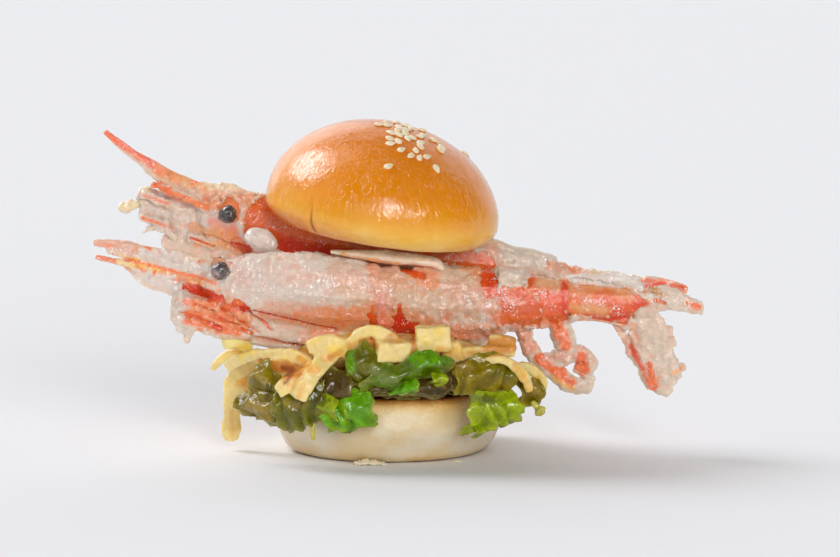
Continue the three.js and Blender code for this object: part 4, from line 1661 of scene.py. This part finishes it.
# %% Lay out what the batter adds to the front shrimp
FRONT_COAT = {
    "web": (0.3, 0, [(0, -2.5, 4.3), (-9, 0, 4.3), (-17, 2.5, 3.2), (-23, 4, 2), (-32, 5.5, 1.2)]),
    "scale_fringe": (0.28, 0, [
        (-3, -7.5, 3.8), (-9, -6, 3.8), (-16, -4, 3.5), (-21.5, -2.5, 3.2), (-26, 0.5, 2),
    ]),
    "scale_join": (0.5, 0, [(-2, -10, 3.5), (-7, -9, 3), (-11, -8.5, 2.3)]),
    "leg_flap": (0.5, -3, [(-11.5, -7.5, 2.3), (-12, -12.5, 2.6), (-11, -17, 2)]),
    "leg_clump": (0.75, -2, [(5, -13.5, 5.8), (-2, -13.5, 5.2), (-8.5, -13, 4.6)]),
    "hanging_tip": (0.8, -4, [(-8.5, -17, 1.2), (-9.5, -19, 0.8), (-10, -20.5, 0.5)]),
    "jaw_coat": (0.85, -1, [
        (-2, -16.5, 2.6), (7.5, -18, 4), (20, -20, 4), (30, -20.5, 3.5), (37, -19.5, 2.3),
    ]),
    "belly_lump": (0.8, -1.5, [(61, -15.5, 5.2), (67.5, -17, 5.2), (75, -17.5, 4.4)]),
    "shoulder_lump": (0.8, -1.5, [(53, -4.5, 5.5), (63, -6, 7), (75, -7.5, 7)]),
    "loose_lump": (0.6, -5, [(80, -3, 2), (83, -1.5, 1.9), (85, -3, 1.5)]),
    "tail_ridge": (0.6, -1, [(99.5, -2.5, 1), (106.5, -3, 1.5), (113, -3, 1.9), (120, -5, 2.6)]),
    "fan_top": (0.32, 0, [
        (118, -8, 3.5), (123, -8.5, 4), (128, -8.5, 3.8), (133, -10, 2.9), (138, -12, 1.5),
    ]),
    "fan_edge": (0.4, 1, [(121, -6, 1.5), (125.5, -5, 1), (131, -4, 0.6)]),
    "fan_bottom": (0.2, 0, [
        (121, -13, 4.3), (124, -19.5, 5.2), (125, -25, 5.8), (127.5, -31, 5.2), (127.5, -35, 2.9),
    ]),
    "fan_tear": (0.2, 0, [(128, -19.5, 2.3), (130.5, -22, 0.9)]),
    "fan_corner": (0.2, 0, [(130.5, -30.5, 2.3), (133.5, -29, 0.9)]),
    "fan_leaf": (0.16, 1, [
        (113, -16, 0.5), (116, -19.5, 1.3), (119, -24.5, 1.7), (122, -30, 1.6), (124, -34.5, 1.3),
    ]),
    "paddle_long": (0.8, 0, [
        (84, -14, 2), (87, -18.5, 1.8), (89, -23, 1.9), (92, -27.5, 2.2), (97, -31, 2.5),
        (101.5, -34, 2.2), (106, -34.5, 1.8),
    ]),
    "paddle_short": (0.7, 0, [(97, -13, 2.6), (98, -18, 3.2), (99.5, -22, 3.2)]),
    "paddle_loop": (0.8, 0, [
        (92, -27, 1.8), (97, -26.5, 2.3), (102, -25, 2.3), (106, -26, 2), (106, -29.5, 1.8),
        (103, -29.5, 1.3),
    ]),
    "paddle_tip": (0.7, 0, [(106, -30.5, 0.9), (106.5, -33.5, 1.2), (105, -35, 1)]),
    "paddle_root": (0.7, -3, [(80.5, -13, 3.5), (88.5, -14.5, 2.6), (95, -14.5, 2)]),
}

# %% [markdown]
# A mark's ends lie on a limb, so a mark names the limb, and for each end the share along it and
# how far up it is in half widths. Bare marks come first, then crusty ones, and the colours
# follow from the spike to the tail's fan. A later colour covers an earlier one.

# %% Bare and crusty places of the front shrimp
FRONT_BARE = [  # (limb, (share along, lift), (share along, lift), half width)
    ("head", (0.1, 0.9), (0.1, 0.9), 2.4), ("head", (0.23, -0.5), (0.27, -0.7), 1.2),
    ("scale", (0, -0.4), (0.3, -0.6), 1.2), ("jaw", (0.3, 1), (1, 1), 0.3),
    ("jaw", (0.45, -0.8), (0.8, -0.8), 0.7), ("ring_2", (0, -0.4), (0.05, -1.1), 0.9),
    ("ring_3", (0.03, 0.05), (0.04, -0.4), 0.6), ("ring_3", (0.04, -0.4), (0.06, -1.1), 1.7),
    ("ring_3", (0.15, -0.6), (0.15, -1.1), 1.7), ("ring_3", (0.08, 1), (0.25, 0.85), 0.9),
    ("ring_3", (0.85, 1.2), (0.92, 0.5), 2), ("ring_3", (0.4, -1), (0.7, -1.1), 0.9),
    ("ring_4", (0.2, 0.3), (0.25, -0.5), 2.3), ("ring_4", (0.5, 0.2), (0.65, -0.5), 3.8),
    ("ring_4", (0.8, 0.75), (1, 0.75), 2.3), ("ring_5", (0.2, 0.1), (0.5, -0.6), 3.2),
    ("ring_6", (0.08, 0.4), (0.65, 0), 5.2), ("ring_6", (0.7, 0.2), (0.9, 0), 1.3),
    ("under_tail", (0.4, 0), (0.8, 0), 0.6), ("fan_above", (0.3, 0), (0.45, -0.5), 0.4),
]
FRONT_CRUSTY = [
    ("ring_2", (0.2, 1), (0.3, -1), 1.5), ("ring_3", (0.03, 1), (0.95, 1), 4),
    ("ring_3", (0.03, 0.1), (0.95, 0.1), 4), ("belly_lump", (0, 0), (1, 0), 6.4),
    ("head", (0.2, 1.1), (0.75, 1.1), 1.5), ("head", (0.85, 1), (1, 0.9), 3),
    ("leg_clump", (0, 0), (1, 0), 7), ("jaw_coat", (0.3, -0.6), (1, -0.6), 1.5),
    ("loose_lump", (0, 0), (1, 0), 2.3), ("paddle_long", (0, 0), (1, 0), 7),
    ("paddle_short", (0, 0), (1, 0), 6), ("tail_ridge", (0.2, 0), (1, 0), 1.2),
    ("fan_top", (0, 0), (1, 0), 3.5), ("fan_bottom", (0.2, 0), (1, 0), 8),
    ("scale_fringe", (0, 0), (1, 0), 2.3), ("web", (0, 0.4), (1, 0.4), 1.5),
]

# %% Colours of the front shrimp's head
FRONT_TONES = [  # the same, then a colour and its strength
    # spike, scale and feeler
    ("spike", (0.75, 0.3), (1, 0.3), 1.3, "pink", 0.7), ("web", (0, 0.3), (0.7, 0.3), 2, "white", 0.85),
    ("spike", (0.05, 0.9), (0.3, 0.8), 1.7, "stone", 0.7),
    ("feeler", (0.3, 0), (1, 0), 0.9, "orange", 0.7),
    ("scale", (0.85, 0.3), (1, 0.3), 1.4, "butter", 0.8),
    ("scale", (0.5, 0.5), (0.85, 0.5), 1.3, "yellow", 0.95),
    ("scale", (0.2, 0.5), (0.5, 0.4), 1.5, "peach", 0.95),
    ("scale", (0.05, 1.3), (0.95, 1), 0.4, "orange", 0.85),
    ("scale", (0.15, -0.1), (0.4, 0), 1, "orange", 0.8),
    ("scale_fringe", (0.4, 0), (0.9, -0.4), 2.3, "white", 0.9),
    # mouth and legs
    ("scale_join", (0, 0.6), (0.5, 1), 1.4, "red", 0.8),
    ("leg_clump", (0, -0.2), (0.8, 0.3), 3.8, "salmon", 0.8),
    ("leg_flap", (0, 0), (1, 0), 2.2, "white", 0.7),
    ("leg_clump", (0, 0.5), (0.3, 0.6), 1.2, "red", 0.7),
    *[(f"leg_{number}", (0.15, 0), (0.9, 0), 1, "orange", 0.7) for number in range(LEG_COUNT)],
    # cheek and back of the head
    ("head", (0.25, 0.45), (0.85, 0.4), 6.4, "white", 0.7),
    ("head", (0.3, -0.35), (0.85, -0.2), 4, "white", 0.45),
    ("head", (0.55, 0.9), (0.8, 0.8), 2.6, "white", 0.7),
    ("jaw", (0.5, 1.3), (1, 1.5), 1.6, "blush", 0.7),
    ("head", (0.4, -0.5), (0.9, -0.45), 1.7, "pink", 0.55),
    ("head", (0.55, -0.7), (0.95, -0.5), 2.6, "salmon", 0.7),
    ("jaw", (0.8, 0.2), (1, 0.3), 2, "salmon", 0.8),
    ("jaw_coat", (0.3, 0.5), (0.6, 0.4), 1.7, "milk", 0.6),
    ("head", (0.8, 0.3), (0.97, 0), 2.9, "tan", 0.5),
    ("head", (0.75, 0.7), (0.95, 0.4), 2.6, "pink", 0.5),
    # joint behind the head
    ("ring_2", (0.15, 1.2), (0.25, -0.9), 2, "salmon", 0.5),
    ("ring_2", (0, 1), (0.1, 0), 0.7, "orange", 0.55),
    ("ring_2", (0.2, 1.1), (0.8, 0.7), 2.3, "salmon", 0.7),
    ("ring_2", (0.3, 0.5), (0.5, -0.4), 2.2, "salmon", 0.5),
    ("ring_2", (0.45, 0.1), (0.6, -0.9), 2.6, "rose", 0.8),
]

# %% Colours of its rings and tail
FRONT_TONES += [
    # the big ring
    ("ring_3", (0, 0.55), (1, 0.3), 8.7, "white", 0.45),
    ("ring_3", (0.03, 0.75), (0.9, 0.85), 4, "tan", 0.5),
    ("ring_3", (0.02, -0.2), (0.3, -0.6), 3, "salmon", 0.75),
    ("ring_3", (0.35, -0.7), (0.95, -0.8), 2.2, "salmon", 0.7),
    ("ring_3", (0.8, 0.9), (0.9, -0.1), 1.8, "blush", 0.6),
    ("ring_3", (0.03, 0.1), (0.7, 0), 4, "tan", 0.45),
    ("ring_3", (0.55, 0.5), (0.9, 0.1), 3, "pink", 0.6),
    ("ring_3", (0.18, 1), (0.32, 0.75), 2.6, "salmon", 0.7),
    ("ring_3", (0.7, 1.2), (0.85, 1), 2.6, "salmon", 0.7),
    ("ring_3", (0.6, -0.85), (0.9, -0.95), 1.7, "rose", 0.5),
    # paddles
    ("paddle_root", (0, 0), (1, 0), 2.6, "orange", 0.75),
    ("paddle_long", (0.1, 0), (0.35, 0), 2, "blush", 0.7),
    ("paddle_long", (0.45, 0.3), (0.85, 0), 1.5, "orange", 0.95),
    ("paddle_long", (0.6, -0.7), (0.85, -0.6), 0.7, "yellow", 0.6),
    ("paddle_long", (0.9, 0), (1, 0), 1.2, "milk", 0.9),
    ("paddle_short", (0.2, 0), (1, 0), 1.8, "orange", 0.9),
    ("paddle_loop", (0.1, 0.3), (0.5, 0.3), 1.5, "blush", 0.5),
    ("paddle_loop", (0.5, 0), (0.9, 0), 1.7, "orange", 0.9),
    # tail and its fan
    ("loose_lump", (0, 0.5), (1, 0), 2, "milk", 0.8),
    ("tail_ridge", (0.1, 0.5), (1, 0.5), 2.3, "white", 0.85),
    ("ring_6", (0.75, 0.3), (0.95, 0), 1.2, "orange", 0.8),
    ("fan_top", (0.3, 0.7), (0.45, 0.3), 0.75, "gold", 0.9),
    ("fan_edge", (0.2, 0.5), (1, 0.5), 0.6, "red", 0.9),
    ("fan_top", (0.85, 0.3), (1, 0.5), 0.75, "orange", 0.9),
    ("fan_bottom", (0.1, 0.2), (0.5, 0.5), 4, "milk", 0.7),
    ("fan_leaf", (0, 0), (0.4, 0), 1.5, "pink", 0.7),
    ("fan_leaf", (0.45, 0.5), (0.75, 0.3), 0.65, "red", 0.8),
    ("fan_below", (0.6, 0), (1, 0), 0.8, "orange", 0.95),
    ("fan_leaf", (0.5, 0), (1, 0), 0.5, "coral", 0.8),
    ("fan_corner", (0, 0), (1, 0), 0.6, "peach", 0.8),
]

# %% Colours and painted glints of its bare shell
FRONT_SHELL_TONES = [
    ("head", (0.1, 0.9), (0.1, 0.9), 3.5, "tan", 0.8), ("scale", (0, 0), (0.3, -0.8), 1.7, "red", 0.9),
    ("jaw", (0.3, 1), (1, 1), 0.9, "deep", 0.9), ("ring_3", (0, 0.4), (0.03, -0.4), 1.5, "deep", 0.6),
    ("ring_3", (0.03, -0.65), (0.17, -1.1), 4, "deep", 0.9),
    ("ring_3", (0.85, 1.25), (0.95, 0.6), 2.6, "red", 0.9),
    ("ring_4", (0.1, 0.25), (0.6, -0.1), 3, "rose", 0.8),
    ("ring_4", (0.2, -0.6), (1, -0.95), 2, "orange", 0.9),
    ("ring_4", (0.25, 0.1), (0.5, 0), 1.2, "blush", 0.6),
    ("ring_5", (0, 0.85), (0.6, 0.8), 2.3, "apricot", 0.95),
    ("ring_5", (0, 0.2), (0.5, -0.1), 2.3, "coral", 0.85),
    ("ring_6", (0.05, 1), (0.75, 0.8), 1.5, "apricot", 0.95),
    ("ring_6", (0.08, 0.7), (0.7, 0.3), 1.7, "salmon", 0.95),
    ("ring_6", (0.4, 0.4), (0.7, -0.2), 1.7, "coral", 0.8),
    # painted reflection: the peach stripe low on the last ring stands for the bright table reflected
    # there
    ("ring_6", (0.1, -0.15), (0.45, -0.4), 1.5, "peach", 0.8),
    ("ring_6", (0.1, -0.8), (0.65, -1.1), 0.9, "red", 0.8),
    ("ring_6", (0, 1.1), (0, -0.6), 1, "red", 0.95),
]
# places where white glints are painted into the colour, as painted highlights
FRONT_PAINTED_SPARKLES = [
    ("ring_6", (0.15, 0.8), (0.25, 0), 1.7), ("ring_6", (0.4, 0.1), (0.65, -0.4), 1.7),
    ("ring_4", (0.1, 0.4), (0.35, -0.2), 2), ("ring_4", (0.8, 0.35), (1, 0.3), 1.2),
    ("ring_5", (0.1, 0), (0.5, -0.3), 1.2), ("tail_ridge", (0.7, 0.5), (1, 0.8), 1.7),
    ("fan_top", (0.1, 0.5), (0.9, 0.2), 2), ("ring_3", (0.55, -0.65), (0.85, -0.8), 1.7),
    ("ring_3", (0.7, 0.2), (0.9, 0.1), 1.7), ("web", (0.75, 0.2), (1, 0), 0.9),
]

# %% Fry the front shrimp
print(len(FRONT_TONES) + len(FRONT_SHELL_TONES), "colour marks on the front shrimp")
STREAK_COUNT = 14

random.seed(5)
front_parts = fried(
    "shrimp_front", FRONT_FLESH, FRONT_COAT, FRONT_BARE, FRONT_CRUSTY,
    FRONT_TONES, FRONT_SHELL_TONES, FRONT_PAINTED_SPARKLES, leg_streaks(STREAK_COUNT),
)

# %% [markdown]
# The back shrimp is drawn in the same way, with fewer limbs, since most of it lies under the
# crown. A drip of its batter set in a loop below the head, and a long slab of it hangs out in
# front, well away from the shell.

# %% Lay out the back shrimp's limbs
STREAK_PLACES = [(-21, 4), (-21.5, -2.5), (-7.5, -8.5)]
BACK_FLESH = {
    "head": (0.88, 0, [(-6, -0.5, 5), (2, -2, 7.3), (12, -4, 9), (24, -7, 10.5), (35.5, -9, 10.5)]),
    "trunk": (0.85, 0, [(34, -10, 10), (50, -12, 10), (64.5, -13.5, 8.7), (77.5, -15, 6.4)]),
    "tail_root": (0.85, 0, [(75.5, -15, 6), (87.5, -16, 4.4), (93.5, -17.5, 3.2)]),
    "tail": (0.85, 0, [(93.5, -18, 2.8), (100.5, -19, 2.3), (108, -20, 2.3), (121, -22, 2)]),
    "spike": (0.5, 0, [
        (0, 3, 2.9), (-8, 5.5, 2.8), (-15, 9, 1.9), (-20, 12, 1.5), (-28.5, 17.5, 1), (-36, 23.5, 0.3),
    ]),
    "scale": (0.3, 0, [(-4, 0, 3.5), (-12.5, 1.5, 2.9), (-20.5, 3.5, 2), (-25, 4.5, 1.2)]),
    "scale_under": (0.3, 0, [(-4, -7, 2.6), (-11.5, -5, 2.2), (-20, -3, 1.5), (-25, -0.5, 0.9)]),
    "feeler": (1, -4.5, [(-6.5, 2, 0.7), (-11.5, 4.5, 0.5), (-17, 7, 0.3), (-21.5, 8.5, 0.1)]),
    "jaw": (0.8, 0, [(-4.5, -8.5, 2.9), (3.5, -10.5, 3.5), (15, -13.5, 4)]),
    "fan": (0.3, 0, [(119.5, -22, 2.3), (126, -22, 2.3), (132, -23, 1.5)]),
    **streak_limbs(STREAK_PLACES),
}
print(len(BACK_FLESH), "limbs in the back shrimp")

# %% Lay out what the batter adds to the back shrimp
CURL_TURNS = np.radians(np.linspace(20, 350, 8))  # the drip's loop, seen from the side
curl = [
    (-21.5 + reach * math.cos(turn), -8.5 + 0.7 * reach * math.sin(turn), 0.36)
    for reach, turn in zip(np.linspace(6.5, 3, 8), CURL_TURNS)
]
BACK_COAT = {
    "scale_coat": (0.3, 0, [(-3, -1, 4.6), (-11, 1, 5), (-19, 3, 3.8), (-24.5, 4.5, 2.6)]),
    "scale_middle": (0.26, 0, [(-3, -4, 5.2), (-11, -2.5, 5.2), (-19, 0, 4), (-24, 1.5, 2.3)]),
    "scale_below": (0.3, 0, [(-3, -7.5, 4.4), (-11, -5.5, 3.8), (-18.5, -3, 2.6), (-24.5, -1, 1.6)]),
    "web_below": (0.28, 0, [(-0.5, -11, 4.4), (-8, -10, 4.4), (-14.5, -9, 3.5), (-18.5, -9, 2)]),
    "knob": (0.8, 0, [(-27, 2, 0.9), (-30.5, 1, 1.4), (-31, 1, 0.9)]),
    "curl": (0.9, -3, curl),
    "brow": (0.6, 0, [(-6.5, 6.5, 1.7), (0.5, 6, 2), (7, 3.5, 2), (11.5, 2, 1.5)]),
    "under_spike": (0.4, 0, [
        (-30, 19, 0.9), (-24, 13.5, 1.2), (-18.5, 9, 1.7), (-12.5, 6, 2.3), (-7, 4, 2.3),
    ]),
    "oval_blob": (0.8, -12.5, [(7, -5, 2.4), (10, -6.5, 3.5), (13, -8.5, 2.4)]),
    "slab": (2.2, -21, [
        (30, -9, 0.5), (36, -9.5, 1.2), (46, -10.5, 1.9), (55, -11.5, 1.8), (60.5, -12.5, 1.5),
        (62.5, -15, 0.7),
    ]),
    "block_top": (0.9, -1, [(76, -10, 2.6), (82.5, -12, 2.3), (89, -13, 2.2), (93.5, -14.5, 1.9)]),
    "block_low": (0.8, -1, [(76, -14, 3.2), (84.5, -15, 2.9), (93.5, -16, 2)]),
    "tail_coat": (0.8, 0, [(100, -18.5, 1.2), (108, -19, 1.7), (119.5, -21, 1.7)]),
    "fan_coat": (0.3, 0, [(119.5, -22, 2.9), (126.5, -22, 2.6), (133, -23, 1.7)]),
    "ridge": (0.7, -8, [(21, -11.5, 1.7), (26.5, -12, 1.5), (34, -13.5, 1.2)]),
}

# %% Bare and crusty places of the back shrimp
BACK_BARE = [
    ("head", (0.2, 0.4), (0.2, 0.4), 3), ("head", (0.5, 0.2), (1, 0), 7.5),
    ("head", (0.5, 0.5), (0.7, 0.4), 2.6), ("jaw", (0.4, 0.2), (0.6, 0.2), 1.2),
    ("streak_2", (0, 0), (1, 0), 0.3), ("trunk", (0.65, 0.1), (0.95, 0.1), 2),
    ("trunk", (0.03, 0.1), (0.6, 0.2), 0.9), ("fan", (0.1, 0), (1, 0.5), 0.4),
]
BACK_CRUSTY = [
    ("scale_middle", (0, 0), (1, 0), 7.5), ("brow", (0, 0.5), (1, 0), 3.5),
    ("head", (0.2, -0.4), (0.4, -0.7), 2.3), ("tail", (0.1, 1), (1, 0), 3.5),
    ("under_spike", (0.3, 0), (0.8, 0), 1.5),
]

# %% Colours of the back shrimp's batter
BACK_TONES = [
    # spike, brow and feeler
    ("under_spike", (0, 0.5), (0.4, 0), 1.5, "milk", 0.8),
    ("under_spike", (0.4, 0.5), (0.9, 0.3), 2, "cream", 0.7),
    ("spike", (0.6, 0.2), (1, 0), 1, "coral", 0.8),
    ("spike", (0.4, 0.3), (0.6, 0.3), 1.3, "salmon", 0.9),
    ("spike", (0.1, 0.6), (0.4, 0.3), 1.7, "peach", 0.85),
    ("brow", (0, 0.8), (0.4, 0.6), 1.2, "cream", 0.8),
    ("brow", (0.7, 0.3), (0.9, 0), 1.7, "stone", 0.8),
    ("brow", (0.9, 0.3), (1, 0), 1.2, "orange", 0.85),
    # scales
    ("scale_middle", (0, 0.4), (0.9, 0.3), 7, "white", 0.65),
    ("web_below", (0, 0.3), (0.9, 0.3), 2.3, "white", 0.5),
    ("scale_coat", (0.3, -0.2), (0.9, -0.2), 1.5, "milk", 0.7),
    ("scale_coat", (0.9, 1), (1, 1), 0.9, "butter", 0.5), ("knob", (0, 0), (1, 0), 1.4, "butter", 0.6),
    ("scale_under", (0, 0.3), (0.3, 0.5), 1.2, "peach", 0.7),
    *[(f"streak_{n}", (0, 0), (1, 0), 0.45, "orange", 0.9) for n in range(len(STREAK_PLACES))],
    ("feeler", (0, 0), (1, 0), 0.9, "orange", 0.95),
    ("scale_coat", (0, 0.6), (0.5, 0.6), 1.4, "salmon", 0.6),
    ("web_below", (0, 0.4), (0.4, 0.2), 1.2, "peach", 0.7),
    # round the eye and cheek
    ("head", (0, 0.9), (0.35, 0.85), 1.8, "salmon", 0.55),
    ("head", (0.05, -0.3), (0.3, -0.6), 1.6, "coral", 0.5),
    ("head", (0.1, -0.8), (0.2, -1), 2.3, "peach", 0.8),
    ("head", (0.2, 0.1), (0.25, -0.3), 1.2, "rose", 0.5),
    ("jaw", (0.3, 1), (0.5, 0.5), 1.7, "salmon", 0.9), ("oval_blob", (0, 0), (1, 0), 4, "white", 0.9),
    # under the crown: the slab is painted brighter than batter, as painted light where the crown's
    # shade falls
    ("slab", (0, 0), (1, 0), 3, "snow", 0.95), ("slab", (0.1, -1), (0.9, -1), 1, "peach", 0.9),
    # tail
    ("block_top", (0, 0.3), (1, 0), 5.5, "milk", 0.95),
    ("block_top", (0, 0), (0.05, -1), 1.7, "pink", 0.8),
    ("block_low", (0.4, 0.8), (1, 0.5), 3.5, "ash", 0.7),
    ("tail", (0, 1), (0.6, 1), 1.2, "salmon", 0.5),
    ("tail_coat", (0.4, 0.8), (1, 0.8), 1.5, "cream", 0.7),
    ("fan_coat", (0, 0.6), (1, 0.4), 0.9, "rose", 0.8),
]

# %% Colours and painted glints of the back shrimp's shell
BACK_SHELL_TONES = [
    ("head", (0.2, 0.4), (0.2, 0.4), 3.8, "salmon", 0.8),
    ("head", (0.45, 0.1), (1, -0.1), 7, "ember", 0.9),
    ("head", (0.6, -0.45), (1, -0.45), 3.2, "deep", 0.9),
    ("head", (0.45, 0.1), (0.6, -0.1), 0.7, "coral", 0.7),
    ("head", (0.4, 0.9), (0.5, 0.4), 2.3, "orange", 0.8),
    ("spike", (0.3, 0), (1, 0), 1.2, "coral", 0.9),
    ("feeler", (0, 0), (1, 0), 0.6, "orange", 0.9), ("trunk", (0.6, 0.3), (1, 0.2), 2.9, "ember", 0.8),
    ("jaw", (0.3, 0.6), (0.6, 0.2), 1.7, "red", 0.9),
]
# places where white glints are painted into the colour, as painted highlights
BACK_PAINTED_SPARKLES = [
    ("tail", (0.3, 1), (0.8, 1), 1.5), ("block_top", (0.9, 0.5), (1, 0), 0.9),
    ("head", (0.5, 0.2), (0.65, 0.3), 1.2), ("brow", (0.1, -0.3), (0.3, -0.3), 0.9),
]

# %% Fry the back shrimp
print(len(BACK_TONES) + len(BACK_SHELL_TONES), "colour marks on the back shrimp")
back_parts = fried(
    "shrimp_back", BACK_FLESH, BACK_COAT, BACK_BARE, BACK_CRUSTY,
    BACK_TONES, BACK_SHELL_TONES, BACK_PAINTED_SPARKLES,
)

# %% Give the shrimps their finish
for name, (shell, coat) in {"shrimp_front": front_parts, "shrimp_back": back_parts}.items():
    finish_only(shell, shell_finish)
    finish_only(coat, batter)
    belongs(shell, "batter", name)
    belongs(coat, "batter", name)

# %% [markdown]
# ## Eyes
#
# A shrimp's eye is a small black ball, hard and shiny, made of very many facets. Frying dries
# it, so it is a little dented. The front shrimp's eyes have a film of batter over part of
# them.

# %% Blacken the eyes
black_eye = new_material("black_eye", base_color=rgb(24, 20, 22), roughness=0.3)
filmed_eye = new_material("filmed_eye", roughness=0.35)
film = ramp(filmed_eye, cloud(filmed_eye, 1.7 * MM, detail=3), (0.52, 0.0), (0.64, 1.0))
colour_by(filmed_eye, blend(filmed_eye, film, rgb(66, 58, 60), rgb(160, 138, 128)))
for finish in (black_eye, filmed_eye):
    set_sockets(finish, {"Coat Weight": 1.0, "Coat Roughness": 0.04, "Coat IOR": 1.9})
    embossed(finish, bump(finish, cells(finish, 0.8 * MM), 0.12 * MM))

# %% Set the eyes
EYE_SHARE = 0.45  # radius as a share of the plain eye's width: frying shrinks an eye

for name, finish in {"shrimp_front": filmed_eye, "shrimp_back": black_eye}.items():
    for side in ("near", "far"):
        low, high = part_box(f"{name}_eye_{side}")
        bpy.ops.object.select_all(action="DESELECT")
        bpy.ops.mesh.primitive_ico_sphere_add(subdivisions=4, radius=1, location=(low + high) / 2)
        eye = bpy.context.object
        eye.name = f"{name}_eyeball_{side}"
        eye.scale = EYE_SHARE * (high - low)
        settle(eye)
        points = points_of(eye)
        dented = 0.16 * fuzz(points / MM, 1.1, 3) + 0.1 * fuzz(points / MM, 0.5, 4)
        move_points(eye, points + normals_of(eye) * (dented * MM)[:, None])
        finish_only(eye, finish)
        belongs(eye, "eye", f"{name}_eye_{side}")
